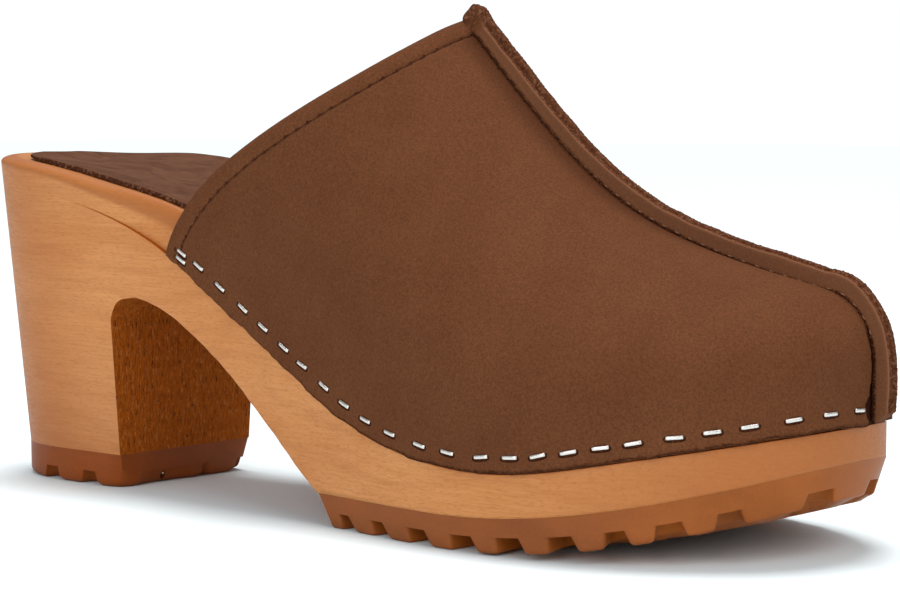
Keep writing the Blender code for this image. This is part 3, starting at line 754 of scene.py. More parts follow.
def flesh_side(colours):
    """The rough inner face of the upper, with short nap."""
    made, tree, shader = new_material("flesh_side", Roughness=0.95, Specular_IOR_Level=0.15)
    shader.inputs["Sheen Weight"].default_value = 0.25
    grain = use_group(tree, hide_grain(), {"Patch": 9.0, "Grain": 0.6})
    fibre = use_group(tree, raw_fibre(), {"Size": 0.9})
    tone = blended(tree, grain["Mottle"], opaque(colours.leather_flesh), opaque(colours.leather_light))
    shade = spread(tree, fibre["Height"], 0.3, 0.7, 0.75, 1.2)
    tone = blended(tree, 1.0, tone, shade, "MULTIPLY")
    tone = blended(tree, painted(tree, "crease"), tone, opaque(colours.leather_dark))
    feed(tree, shader.inputs["Base Color"], tone)
    feed(tree, shader.inputs["Normal"], bumped(tree, fibre["Height"], 0.3, 0.8))
    return made


def insole_leather(colours):
    """Smooth dark leather with waxy streaks along the foot, whose lighter tone is painted sheen; they are
    also glossier.
    """
    made, tree, shader = new_material("insole_leather", Roughness=0.7, Specular_IOR_Level=0.12)
    grain = use_group(tree, hide_grain(), {"Patch": 8.0, "Grain": 0.5})
    streak = cloud(tree, place_mm(tree, (0.09, 0.16, 0.4)), 1.0, detail=4.0, roughness=0.65, distortion=0.8)
    streak = spread(tree, streak, 0.34, 0.66)
    # painted sheen: lighter streaks along the foot
    tone = blended(tree, streak, opaque(colours.leather_dark), opaque(colours.insole))
    tone = blended(tree, 0.5, tone, opaque(colours.insole))
    shade = spread(tree, grain["Speckle"], 0.0, 1.0, 0.86, 1.14)
    tone = blended(tree, 1.0, tone, shade, "MULTIPLY")
    feed(tree, shader.inputs["Base Color"], tone)
    feed(tree, shader.inputs["Roughness"], spread(tree, streak, 0.0, 1.0, 0.82, 0.66))
    feed(tree, shader.inputs["Normal"], bumped(tree, sums(tree, "ADD", grain["Height"], streak), 0.12, 0.6))
    return made


def alder(colours):
    """Sanded, oiled alder. Reads the masks crease, a scored line, and rim, the darker edge and ends: painted
    shade on the footbed's rounded edge and towards the toe, and darker at the back and foot of the heel.
    """
    made, tree, shader = new_material("alder", Roughness=0.5, Specular_IOR_Level=0.25)
    grain = use_group(tree, alder_grain(), {"Band": 11.0})
    patch = cloud(tree, place_mm(tree, (0.02, 0.05, 0.05)), 1.0, detail=2.0)
    tone = blended(tree, spread(tree, patch, 0.35, 0.65), opaque(colours.wood), opaque(colours.wood_light))
    for output, share in (("Band", 0.13), ("Fibre", 0.26), ("Pore", 0.34)):
        weight = sums(tree, "MULTIPLY", grain[output], share)
        tone = blended(tree, weight, tone, opaque(colours.wood_dark))
    tone = blended(tree, painted(tree, "rim"), tone, opaque(colours.wood_dark))
    tone = blended(tree, painted(tree, "crease"), tone, opaque(colours.wood_sawn))
    feed(tree, shader.inputs["Base Color"], tone)
    feed(tree, shader.inputs["Roughness"], spread(tree, grain["Fibre"], 0.0, 1.0, 0.44, 0.58))
    height = sums(tree, "SUBTRACT", sums(tree, "MULTIPLY", grain["Fibre"], 0.3), grain["Pore"])
    feed(tree, shader.inputs["Normal"], bumped(tree, height, 0.06, 0.5))
    return made


def sawn_alder(colours):
    """The dark sawn faces of the heel breast and the arch: end grain with upright marks and pits."""
    made, tree, shader = new_material("sawn_alder", Roughness=0.85, Specular_IOR_Level=0.05)
    marks = cloud(tree, place_mm(tree, (0.9, 0.9, 0.35)), 1.0, detail=5.0, roughness=0.7)
    pits = cloud(tree, place_mm(tree, (1.6, 1.6, 0.5)), 1.0, detail=2.0, roughness=0.6)
    flecks = cloud(tree, place_mm(tree, (1.3, 1.3, 0.7)), 1.0, detail=3.0, roughness=0.7)
    light = spread(tree, marks, 0.30, 0.60, 0.35, 1.0)
    tone = blended(tree, light, opaque(colours.wood_shade), opaque(colours.wood_sawn))
    tone = blended(tree, spread(tree, flecks, 0.54, 0.66, 0.0, 0.5), tone, opaque(colours.wood))
    tone = blended(tree, spread(tree, pits, 0.41, 0.30, 0.0, 0.65), tone, opaque(colours.leather_dark))
    feed(tree, shader.inputs["Base Color"], tone)
    height = sums(tree, "ADD", marks, pits)
    feed(tree, shader.inputs["Normal"], bumped(tree, height, 0.5, 0.9))
    return made


HEEL_GLOW = 2.0  # painted light: the heel's shallow notches get more of the painted glow


def gum_rubber(colours):
    """Caramel rubber that lets some light in, with soft mould marks. Reads the masks notch, a painted glow
    inside the notches and at the toe, and heel.
    """
    found = bpy.data.materials.get("caramel_rubber")
    if found:
        return found
    made, tree, shader = new_material("caramel_rubber", Roughness=0.45, Specular_IOR_Level=0.08)
    shader.inputs["Subsurface Weight"].default_value = 0.06
    shader.inputs["Subsurface Radius"].default_value = (1.0, 0.35, 0.08)
    shader.inputs["Subsurface Scale"].default_value = 2.0 * MM
    shader.inputs["Coat Weight"].default_value = 0.02
    shader.inputs["Coat Roughness"].default_value = 0.3
    patch = cloud(tree, place_mm(tree, (0.05, 0.05, 0.12)), 1.0, detail=3.0)
    fine = cloud(tree, place_mm(tree), 1.6, detail=3.0, roughness=0.6)
    shade = spread(tree, patch, 0.3, 0.7, 0.86, 1.14)
    shade = sums(tree, "MULTIPLY", shade, spread(tree, fine, 0.3, 0.7, 0.94, 1.06))
    tone = blended(tree, painted(tree, "heel"), opaque(colours.rubber), opaque(colours.rubber_heel))
    glow = sums(tree, "ADD", 1.0, sums(tree, "MULTIPLY", painted(tree, "heel"), HEEL_GLOW))
    glow = sums(tree, "MULTIPLY", painted(tree, "notch"), glow)
    tone = blended(tree, glow, tone, opaque(colours.rubber_glow))
    tone = blended(tree, 1.0, tone, shade, "MULTIPLY")
    feed(tree, shader.inputs["Base Color"], tone)
    feed(tree, shader.inputs["Roughness"], spread(tree, patch, 0.3, 0.7, 0.36, 0.52))
    marks = node(tree, "ShaderNodeTexVoronoi", {"Vector": place_mm(tree), "Scale": 0.16}).outputs["Distance"]
    rings = sums(tree, "SINE", sums(tree, "MULTIPLY", marks, 40.0))
    height = sums(tree, "ADD", sums(tree, "MULTIPLY", rings, 0.15), fine)
    feed(tree, shader.inputs["Normal"], bumped(tree, height, 0.05, 0.5))
    return made


def bright_wire(colours):
    """Zinced staple wire with fine scratches."""
    found = bpy.data.materials.get("bright_wire")
    if found:
        return found
    made, tree, shader = new_material("bright_wire", Metallic=1.0, Roughness=0.26)
    scratch = cloud(tree, place_mm(tree), 4.0, detail=3.0)
    tone = blended(tree, scratch, (0.42, 0.41, 0.40, 1.0), opaque(colours.steel))
    feed(tree, shader.inputs["Base Color"], tone)
    feed(tree, shader.inputs["Roughness"], spread(tree, scratch, 0.3, 0.7, 0.24, 0.42))
    return made


def painted_shade(colours):
    """Painted shade: dark leather with light flecks, for the pit in the heel tread and the staples' shadows.
    """
    found = bpy.data.materials.get("painted_shade")
    if found:
        return found
    made, tree, shader = new_material("painted_shade", Roughness=0.95, Specular_IOR_Level=0.05)
    fibre = use_group(tree, raw_fibre(), {"Size": 0.4})
    tone = blended(tree, fibre["Fleck"], opaque(colours.leather_dark), opaque(colours.leather))
    feed(tree, shader.inputs["Base Color"], tone)
    return made


def sewing_thread(colours):
    made, tree, shader = new_material("sewing_thread", Roughness=0.75, Specular_IOR_Level=0.12)
    twist = cloud(tree, place_mm(tree), 3.5, detail=2.0)
    shade = spread(tree, twist, 0.3, 0.7, 0.6, 1.7)
    tone = blended(tree, 1.0, opaque(colours.thread), shade, "MULTIPLY")
    # painted highlight: the beads of the centre seam's stitches turn tan
    tone = blended(tree, painted(tree, "worn"), tone, opaque(colours.leather_worn_and_lit))
    feed(tree, shader.inputs["Base Color"], tone)
    feed(tree, shader.inputs["Normal"], bumped(tree, twist, 0.1, 0.7))
    return made


def pale_floor(colours):
    made, tree, shader = new_material("pale_floor", Roughness=0.9, Specular_IOR_Level=0.1)
    cast = cloud(tree, place_mm(tree), 0.01, detail=1.0)
    tone = blended(tree, cast, opaque(colours.floor), (0.82, 0.90, 0.925, 1.0))
    feed(tree, shader.inputs["Base Color"], tone)
    return made


# Wooden sole

HEEL_STATIONS = 56
ARCH_STATIONS = 100
FRONT_STATIONS = 90
RIM_STEPS = 9
# painted shade on the footbed's rounded rim
RIM_SHADE = 0.7
TOE_SHADE = 0.76  # painted shade: the wood grows darker towards the tip of the toe
TOE_FADE = (160.0, 240.0)
BACK_TONE = 0.4  # round the back of the heel
BACK_FADE = (16.0, 46.0)
HEEL_TONE = 0.28  # and at the foot of the heel
HEEL_FADE = (8.0, 44.0)
WALL_STEPS = 5
SIDE_STEPS = 14
LINE_WIDTH = 0.3
LINE_FADE = (30.0, 46.0)  # the scored line grows out of the wood between these
CORNER = 0.5  # worn off the sawn edge of the arch
CORNER_TURNS = np.radians((30, 60, 90))
ACROSS_STEPS = 14
BREAST_ROWS = 24


def sole_side(side, turns, bottom):
    """One side of the wood, a row of points for each turn, from the footbed's rim down to bottom.

    Also returns how dark the rim or an end is at each point, painted shade on the rim and towards the toe,
    and how much of the scored line lies there.
    """
    turns = side_turn(side, turns)
    along = outline(turns)[:, 0]
    top, drop, low = footbed(along) + tilt[side](along), edge_drop(along), ledge(along)
    step = RABBET * ramp(*RABBET_FADE, along)
    none = np.zeros_like(step)
    line = ramp(*LINE_FADE, along)
    ends = TOE_SHADE * ramp(*TOE_FADE, along) + BACK_TONE * (1 - ramp(*BACK_FADE, along))
    rows = []
    for angle in np.linspace(0, math.pi / 2, RIM_STEPS):
        inset = step + (EDGE_WIDTH - step) * (1 - math.sin(angle))
        rows.append((inset, top - drop * (1 - math.cos(angle)), none + RIM_SHADE, none))
    for share in np.linspace(0, 1, WALL_STEPS)[1:]:
        rows.append((step, (top - drop) * (1 - share) + (low + LINE_WIDTH) * share, ends, none))
    rows.append((step, low, ends, line))
    rows.append((none, low, ends, line))
    chipped = outline(turns)
    corner = CORNER * ramp(BREAST, BREAST + 6, along) * (1 - ramp(FOREFOOT_BACK - 6, FOREFOOT_BACK, along))
    corner = corner * (1 + 0.5 * ripple(chipped, 1.6, 51))
    for share in np.linspace(0, 1, SIDE_STEPS):
        rows.append((none, (low - LINE_WIDTH) * (1 - share) + (bottom + corner) * share, ends, none))
    for angle in CORNER_TURNS:
        rows.append((corner * (1 - math.cos(angle)), bottom + corner * (1 - math.sin(angle)), ends, none))
    points = np.stack([tapered(inset_outline(turns, row[0]), row[1]) for row in rows], axis=1)
    return points, np.stack([row[2] for row in rows], axis=1), np.stack([row[3] for row in rows], axis=1)


def across(first, last, shares, dish=0.0):
    """Points between two rows of points. dish sinks the middle, less where the rows are close."""
    shares = np.asarray(shares)[None, :, None]
    points = first[:, None] * (1 - shares) + last[:, None] * shares
    width = np.abs(last[:, 1] - first[:, 1])
    depth = dish * ramp(*DISH_WIDTHS, width)
    points[..., 2] -= depth[:, None] * 4 * (shares * (1 - shares))[..., 0]
    return points


def wooden_sole(colours):
    turns = np.concatenate((
        stations(HEEL_BACK + TIP_FLAT, BREAST, HEEL_STATIONS),
        stations(BREAST, FOREFOOT_BACK, ARCH_STATIONS)[1:],
        stations(FOREFOOT_BACK, TOE_TIP - TIP_FLAT, FRONT_STATIONS)[1:],
    ))
    along = along_at(turns)
    underside = np.where(along < FOREFOOT_BACK, arch(along), wood_line(along))
    bottom = np.where(along <= BREAST, ARCH[0].height, underside)
    lateral, *lateral_masks = sole_side(LATERAL, turns, bottom)
    medial, *medial_masks = sole_side(MEDIAL, turns, bottom)
    inner = np.linspace(0, 1, ACROSS_STEPS + 2)[1:-1]
    under = across(lateral[:, -1], medial[:, -1], inner)
    bed = across(medial[:, 0], lateral[:, 0], inner, FOOTBED_DISH)
    rings = np.concatenate((lateral, under, medial[:, ::-1], bed), axis=1)
    count, around = rings.shape[:2]
    side = lateral.shape[1]
    faces = []
    for row in range(count - 1):
        for column in range(around):
            below = side - len(CORNER_TURNS) <= column < side + ACROSS_STEPS + len(CORNER_TURNS) - 1
            flat = side - 1 <= column < side + ACROSS_STEPS
            if flat and row < HEEL_STATIONS - 1:
                continue
            sawn = below and BREAST <= along[row] < FOREFOOT_BACK
            ahead = (column + 1) % around
            corners = (row * around + column, row * around + ahead,
                       (row + 1) * around + ahead, (row + 1) * around + column)
            faces.append((corners, int(sawn)))
    for end in (0, count - 1):
        for row in range(side - 1):
            left = end * around + row
            right = end * around + 2 * side + ACROSS_STEPS - 1 - row
            faces.append(((left, left + 1, right - 1, right), 0))
    block, block_faces = heel_block(turns[:HEEL_STATIONS], inner, start=count * around)
    points = np.concatenate((rings.reshape(-1, 3), block))
    materials = (alder(colours), sawn_alder(colours))
    piece = piece_from("alder_sole", points, faces + block_faces, materials, 30.0)
    plain = np.zeros((count, ACROSS_STEPS))
    for name, left, right in zip(("rim", "crease"), lateral_masks, medial_masks):
        values = np.concatenate((left, plain, right[:, ::-1], plain), axis=1)
        below = np.zeros(len(block))
        if name == "rim":
            below = HEEL_TONE * (1 - ramp(*HEEL_FADE, block[:, 2]))
            below = below + BACK_TONE * (1 - ramp(*BACK_FADE, block[:, 0]))
        mask(piece, name, np.concatenate((values.reshape(-1), below)))
    welded(piece, 2e-3)
    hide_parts("wooden_sole")
    return piece


def heel_block(turns, inner, start):
    """The heel under the arch's height: its side walls, its breast and its foot."""
    heights = np.linspace(ARCH[0].height, HEEL_TREAD, BREAST_ROWS)
    loops = []
    for height in heights:
        outer = tapered(outline(side_turn(LATERAL, turns[::-1])), height)
        inside = tapered(outline(side_turn(MEDIAL, turns)), height)
        front = across(inside[-1:], outer[:1], inner)[0]
        loops.append(np.concatenate((outer, inside, front)))
    loops = np.stack(loops)
    around = loops.shape[1]
    faces = []
    for corners, _ in grid_faces(BREAST_ROWS, around, start, closed=True):
        column = (corners[0] - start) % around
        faces.append((corners, int(column >= 2 * len(turns) - 1)))
    end = start + (BREAST_ROWS - 1) * around
    faces.append((tuple(range(end, end + around)), 0))
    return loops.reshape(-1, 3), faces


# Insole

INSOLE_ROWS = 150
INSOLE_ACROSS = 26
INSOLE_BACK_INSET = 4.2  # more inset at the back of the heel
INSOLE_BACK_THICKNESS = 0.3  # share of the thickness left there, where it is skived
INSOLE_BACK = (-6.0, 30.0)
INSOLE_EDGE = ((0.0, 0.0), (0.0, 0.5), (0.06, 0.85), (0.25, 1.0))  # inwards and share of the thickness


def insole(sizes, colours):
    start, end = HEEL_BACK + INSOLE_INSET / 3, TOE_TIP - INSOLE_INSET / 3
    turns = stations(start, end, INSOLE_ROWS)
    rims = []
    for inset, share in INSOLE_EDGE:
        pair = []
        for side in (LATERAL, MEDIAL):
            outer = side_turn(side, turns)
            along = outline(outer)[:, 0]
            back = 1 - ramp(*INSOLE_BACK, along)
            thickness = sizes.insole / MM * (1 - (1 - INSOLE_BACK_THICKNESS) * back)
            ragged = 0.18 * ripple(outline(outer), 2.6, 5) + 0.10 * ripple(outline(outer), 0.9, 6)
            plan = inset_outline(outer, INSOLE_INSET + INSOLE_BACK_INSET * back + inset + ragged)
            height = footbed(along) + tilt[side](along) + SEAT + thickness * share
            pair.append(tapered(plan, height))
        rims.append(pair)
    inner = np.linspace(0, 1, INSOLE_ACROSS + 2)[1:-1]
    top = across(rims[-1][0], rims[-1][1], inner, FOOTBED_DISH)
    top[..., 2] += 0.10 * ripple(top * (0.2, 1.0, 1.0), 5.0, 11)
    low = across(rims[0][1], rims[0][0], inner, FOOTBED_DISH)
    edge = len(INSOLE_EDGE)
    rings = np.concatenate((
        np.stack([pair[0] for pair in rims], axis=1), top,
        np.stack([pair[1] for pair in rims[::-1]], axis=1), low,
    ), axis=1)
    around = rings.shape[1]
    faces = []
    for corners, _ in grid_faces(INSOLE_ROWS, around, closed=True):
        column = corners[0] % around
        raw = column < edge - 1 or edge + INSOLE_ACROSS <= column < 2 * edge + INSOLE_ACROSS - 1
        faces.append((corners, int(raw)))
    faces.append((tuple(range(around)), 1))
    faces.append((tuple(range((INSOLE_ROWS - 1) * around, INSOLE_ROWS * around)), 1))
    materials = (insole_leather(colours), raw_leather(colours))
    piece = piece_from("insole_leather", rings.reshape(-1, 3), faces, materials)
    welded(piece)
    mask(piece, "crease", np.full(len(piece.data.vertices), 0.6))
    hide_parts("insole")
    return piece


# Rubber treads

PIT = np.array((46.9, -8.6, 1.9))  # a small pit on the leaning front of the heel tread, drawn as a dark disc of painted shade
PIT_HALF = (0.75, 1.05)  # half its width and height
PIT_SIDES = 24
NAIL = np.array((47.1, -8.7, 2.4))  # with a nail head in it
NAIL_RADIUS = 0.28

GLOW_DEPTHS = (3.5, 10.5)  # painted glow inside notches, from shallow ones, which stay as dark as the tread, to deep ones
TOE_GLOW = 0.3  # painted light: the tread is lighter at the toe, as if light came through it
TOE_GLOW_FADE = (195.0, 232.0)
CORNER_PASSES = 4  # smoothing of the upright edges of the lugs
CORNER_REACH = 2.2  # a point is smoothed where its two neighbours are closer together than this
LUG_COLUMNS = 10
BACK_COLUMNS = 26
WALL_SHARES = (0.0, 0.03, 0.1, 0.3, 0.6, 0.85)
# share of the painted glow at each point down a notch's wall
WALL_GLOW = (0.0, 0.2, 0.5, 0.8, 1.0, 1.0)
ROUND_TURNS = np.radians((-90, -60, -30, 0, 30, 60, 90))
FOREFOOT_ROUNDING = 0.8
HEEL_ROUNDING = 1.6
HEEL_CORNER_PASSES = 90  # smoothing of the heel tread's front corners at the floor
CAP_SPACING = 3.0


class TreadPath:
    """The closed edge of a tread, by its length, at any height between its underside and top."""

    def __init__(self, low, high):
        self.low, self.high = low, high
        steps = np.linalg.norm(np.diff(low[:, :2], axis=0), axis=1)
        self.run = np.concatenate(([0.0], np.cumsum(steps)))
        ahead = unit(np.roll(low[:-1], -1, axis=0) - np.roll(low[:-1], 1, axis=0))
        inward = np.stack((-ahead[:, 1], ahead[:, 0], 0 * ahead[:, 0]), axis=-1)
        self.inward = np.concatenate((inward, inward[:1]))

    def at(self, run, height, inset=0.0):
        """height is over the underside, or None for the top. inset moves the points inwards."""
        low = np.stack([np.interp(run, self.run, self.low[:, k]) for k in range(3)], axis=-1)
        high = np.stack([np.interp(run, self.run, self.high[:, k]) for k in range(3)], axis=-1)
        if height is None:
            return high
        share = (height / (high[..., 2] - low[..., 2]))[..., None]
        inward = np.stack([np.interp(run, self.run, self.inward[:, k]) for k in range(3)], axis=-1)
        return low * (1 - share) + high * share + inward * inset


def notch_points(path, centre, notch, height, open_below, inset):
    """A notch's edge at one height: down one wall, round the end and back. Above it, the plain edge."""
    cut = LUG_HEIGHT if height is None else min(height, LUG_HEIGHT)
    half = notch.width / 2 - LUG_SLOPE * cut + inset
    count = 2 * len(WALL_SHARES) + len(ROUND_TURNS)
    if not open_below:
        return path.at(centre + np.linspace(-half, half, count), height)
    first, last = path.at(np.array((centre - half, centre + half)), height, inset)
    along = unit(last - first)
    inward = np.array((-along[1], along[0], 0.0))
    depth = notch.depth - LUG_SLOPE * cut
    reach = np.linalg.norm(last - first) / 2
    end = min(reach, depth) * NOTCH_ROUNDING
    wall = np.array(WALL_SHARES) * (depth - end)
    edge = np.full(len(wall), reach)
    sideways = np.concatenate((-edge, reach * np.sin(ROUND_TURNS), edge))
    inwards = np.concatenate((wall, depth - end + end * np.cos(ROUND_TURNS), wall[::-1]))
    return (first + last) / 2 + along * sideways[:, None] + inward * inwards[:, None]


def tread_row(path, notches, height, open_below, inset):
    """All points round a tread at one height. notches is a list of (place on the path, notch).

    inset narrows the lugs from all sides, where their lower edges are rounded.
    """
    points = []
    cut = LUG_HEIGHT if height is None else min(height, LUG_HEIGHT)
    start = 0.0
    for centre, notch in notches:
        half = notch.width / 2 - LUG_SLOPE * cut + inset
        shares = np.linspace(0, 1, LUG_COLUMNS + 2)[1:-1]
        points.append(path.at(start + (centre - half - start) * shares, height, inset))
        points.append(notch_points(path, centre, notch, height, open_below, inset))
        start = centre + half
    shares = np.linspace(0, 1, BACK_COLUMNS + 2)[1:-1]
    points.append(path.at(start + (path.run[-1] - start) * shares, height, inset))
    row = np.concatenate(points)
    for _ in range(CORNER_PASSES):
        smooth = (np.roll(row, 1, axis=0) + 2 * row + np.roll(row, -1, axis=0)) / 4
        near = np.linalg.norm(np.roll(row, 1, axis=0) - np.roll(row, -1, axis=0), axis=1) < CORNER_REACH
        row = np.where(near[:, None], smooth, row)
    return row


def notch_glow(notches):
    """Painted glow at each point of a tread's row, by how far inside a notch it lies. Shallow notches get
    less of it.
    """
    inside = np.array((*WALL_GLOW, *np.ones(len(ROUND_TURNS)), *WALL_GLOW[::-1]))
    glow_tones = []
    for _, notch in notches:
        glow = ramp(*GLOW_DEPTHS, notch.depth)
        glow_tones += [*np.zeros(LUG_COLUMNS), *(inside * glow)]
    return np.array((*glow_tones, *np.zeros(BACK_COLUMNS)))


def cap(row, height_at, start, first_new):
    """Fills a ring of points with triangles that follow height_at. Returns the new points and the faces."""
    low, high = row[:, :2].min(axis=0), row[:, :2].max(axis=0)
    spots = [Vector(point) for point in row[:, :2]]
    for x in np.arange(low[0], high[0], CAP_SPACING):
        for y in np.arange(low[1], high[1], CAP_SPACING):
            if np.min(np.hypot(row[:, 0] - x, row[:, 1] - y)) > CAP_SPACING / 3:
                spots.append(Vector((x, y)))
    ring = list(range(len(row)))
    spots, _, triangles, origin, _, _ = delaunay_2d_cdt(spots, [], [ring], 1, 1e-6)
    numbers, points = [], []
    for spot, came_from in zip(spots, origin):
        on_ring = [number for number in came_from if number < len(row)]
        if on_ring:
            numbers.append(start + on_ring[0])
        else:
            numbers.append(first_new + len(points))
            points.append((spot.x, spot.y, float(height_at(spot.x))))
    faces = [(tuple(numbers[k] for k in triangle), 0) for triangle in triangles]
    return np.array(points).reshape(-1, 3), faces


def tread(name, path, notches, rounding, under, over, colours):
    """A tread with rounded lugs. under and over give the heights of its underside and top."""
    levels = []
    for angle in np.radians((0, 25, 50, 70, 90)):
        levels.append((rounding * (1 - math.cos(angle)), True, rounding * (1 - math.sin(angle))))
    levels += [(height, True, 0.0) for height in np.linspace(rounding, LUG_HEIGHT - 0.3, 4)[1:]]
    levels += [(LUG_HEIGHT, True, 0.0), (LUG_HEIGHT, False, 0.0)]
    levels += [(LUG_HEIGHT + share, False, 0.0) for share in (0.3, 1.5, 2.8)]
    levels.append((None, False, 0.0))
    rows = [tread_row(path, notches, *level) for level in levels]
    count, around = len(rows), len(rows[0])
    points = np.concatenate(rows)
    faces = grid_faces(count, around, closed=True)
    for number, height_at in ((0, under), (count - 1, over)):
        more, more_faces = cap(rows[number], height_at, number * around, len(points))
        points = np.concatenate((points, more))
        faces += more_faces
    piece = piece_from(name, points, faces, (gum_rubber(colours),), 50.0)
    # painted glow inside the notches and at the toe
    glow_tones = np.concatenate([notch_glow(notches) * level[1] for level in levels])
    glow_tones = np.concatenate((glow_tones, np.zeros(len(points) - len(glow_tones))))
    mask(piece, "notch", np.maximum(glow_tones, TOE_GLOW * ramp(*TOE_GLOW_FADE, points[:, 0])))
    mask(piece, "heel", np.where(points[:, 0] < FOREFOOT_BACK, 1.0, 0.0))
    return welded(piece, 1e-3)


def forefoot_tread(colours):
    back = float(turn_at(FOREFOOT_BACK))
    turns = np.linspace(back, 2 * math.pi - back, 900)
    folded = np.where(turns <= math.pi, turns, 2 * math.pi - turns)
    along = along_at(folded)
    shifted = along + TREAD_BACK_SLOPE * (TOE_TIP - along) / (TOE_TIP - FOREFOOT_BACK)
    place = turn_at(shifted)
    place = np.where(turns <= math.pi, place, 2 * math.pi - place)
    slope = TREAD_SIDE_SLOPE + (TREAD_TOE_SLOPE - TREAD_SIDE_SLOPE) * ramp(TREAD_TOE_START, TOE_TIP, shifted)
    low = tapered(inset_outline(place, slope), toe_lift(shifted))
    high = tapered(outline(turns), wood_line(along) - SEAT)
    low, high = np.concatenate((low, low[:1])), np.concatenate((high, high[:1]))
    path = TreadPath(low, high)
    tip = int(np.argmax(low[:, 0]))
    notches = []
    for notch in FOREFOOT_NOTCHES:
        notches.append((float(np.interp(notch.place, low[:tip, 0], path.run[:tip])), notch))
    for notch in FOREFOOT_NOTCHES[::-1]:
        notches.append((float(np.interp(-notch.place, -low[tip:-1, 0], path.run[tip:-1])), notch))
    piece = tread("forefoot_rubber", path, notches, FOREFOOT_ROUNDING,
                  toe_lift, lambda x: wood_line(x) - SEAT, colours)
    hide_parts("forefoot_tread")
    return piece


def heel_tread(colours):
    turns = stations(HEEL_BACK + TIP_FLAT, BREAST, 160)
    outer = tapered(outline(turns), HEEL_TREAD)
    inside = tapered(outline(2 * math.pi - turns), HEEL_TREAD)
    front = np.linspace(outer[-1], inside[-1], 60)[1:-1]
    high = np.concatenate((outer, front, inside[::-1]))
    low = high.copy()
    for _ in range(HEEL_CORNER_PASSES):
        low = (np.roll(low, 1, axis=0) + 2 * low + np.roll(low, -1, axis=0)) / 4
    low, high = np.concatenate((low, low[:1])), np.concatenate((high, high[:1]))
    low[:, 2], high[:, 2] = 0.0, HEEL_TREAD - SEAT
    path = TreadPath(low, high)
    sides, middle = len(outer), len(outer) + len(front)
    notches = []
    for notch in HEEL_NOTCHES:
        run = np.interp(notch.place, low[:sides, 0], path.run[:sides])
        notches.append((float(run), notch))
    for notch in BREAST_NOTCHES:
        run = np.interp(notch.place, low[sides:middle, 1], path.run[sides:middle])
        notches.append((float(run), notch))
    for notch in HEEL_NOTCHES[::-1]:
        run = np.interp(-notch.place, -low[middle:-1, 0], path.run[middle:-1])
        notches.append((float(run), notch))
    piece = tread("heel_rubber", path, notches, HEEL_ROUNDING,
                  lambda x: 0.0, lambda x: HEEL_TREAD - SEAT, colours)
    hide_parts("heel_tread")
    nail_head(colours)
    return piece


def nail_head(colours):
    """A small round head in a pit of painted shade, a dark disc, on the heel tread's front."""
    turns = np.linspace(0, 2 * math.pi, PIT_SIDES, endpoint=False)
    over = PIT_HALF[1] * np.sin(turns)
    ring = PIT + np.stack((LUG_SLOPE * over - 0.05, PIT_HALF[0] * np.cos(turns), over), axis=-1)
    points = np.concatenate((PIT[None] + (0.12, 0.0, 0.0), ring))
    faces = [((0, 1 + k, 1 + (k + 1) % PIT_SIDES), 0) for k in range(PIT_SIDES)]
    piece_from("heel_pit_shade", points, faces, (painted_shade(colours),))
    bm = bmesh.new()
    bmesh.ops.create_uvsphere(bm, u_segments=12, v_segments=8, radius=NAIL_RADIUS)
    points = np.array([vertex.co for vertex in bm.verts]) + NAIL
    faces = [(tuple(vertex.index for vertex in face.verts), 0) for face in bm.faces]
    bm.free()
    piece_from("heel_nail", points, faces, (bright_wire(colours),))


# Leather upper

UPRIGHT_ROWS = 14
COLUMN_CROWDING = 0.6
ROW_CROWDING = 1.35
EDGE_SAMPLES = 500


class LowerEdge:
    """One side of the upper's lower edge, measured from the collar's corner to the centre seam."""

    def __init__(self, side, leather):
        self.side = side
        turns = np.linspace(side_turn(side, turn_at(COLLAR_CORNER)), self.seam_turn(), EDGE_SAMPLES)
        self.points = inset_outline(turns, np.full(EDGE_SAMPLES, RABBET - GAP - leather))
        steps = np.linalg.norm(np.diff(self.points, axis=0), axis=1)
        self.run = np.concatenate(([0.0], np.cumsum(steps)))
        self.length = self.run[-1]

    def seam_turn(self):
        """Turn of the point on the inner side of the toe where the seam comes down."""
        turns = np.linspace(math.pi, side_turn(MEDIAL, turn_at(TOE_TIP - SEAM_TOE)), EDGE_SAMPLES)
        return float(np.interp(SEAM_TOE, outline(turns)[:, 1], turns))

    def at(self, distance, height):
        """The outer face over these places on the edge, which leans with the sole's side."""
        plan = np.stack([np.interp(distance, self.run, self.points[:, k]) for k in range(2)], axis=-1)
        return tapered(plan, height)

    def foot(self, distance):
        """The points of the lower edge itself."""
        along = np.interp(distance, self.run, self.points[:, 0])
        return self.at(distance, ledge(np.minimum(along, TOE_TIP)) + GAP)


class Ridge:
    """The upper's top line, by its share of length from the collar to the front of the toe."""

    def __init__(self):
        points = np.array([(row.along, row.height) for row in RIDGE])
        chords = np.linalg.norm(np.diff(points, axis=0), axis=1)
        shares = np.concatenate(([0.0], np.cumsum(chords))) / chords.sum()
        self.along = natural_spline(shares, points[:, 0])
        self.height = natural_spline(shares, points[:, 1])

    def at(self, share):
        along = self.along(share)
        return np.stack((along, seam_side(along), self.height(share)), axis=-1)


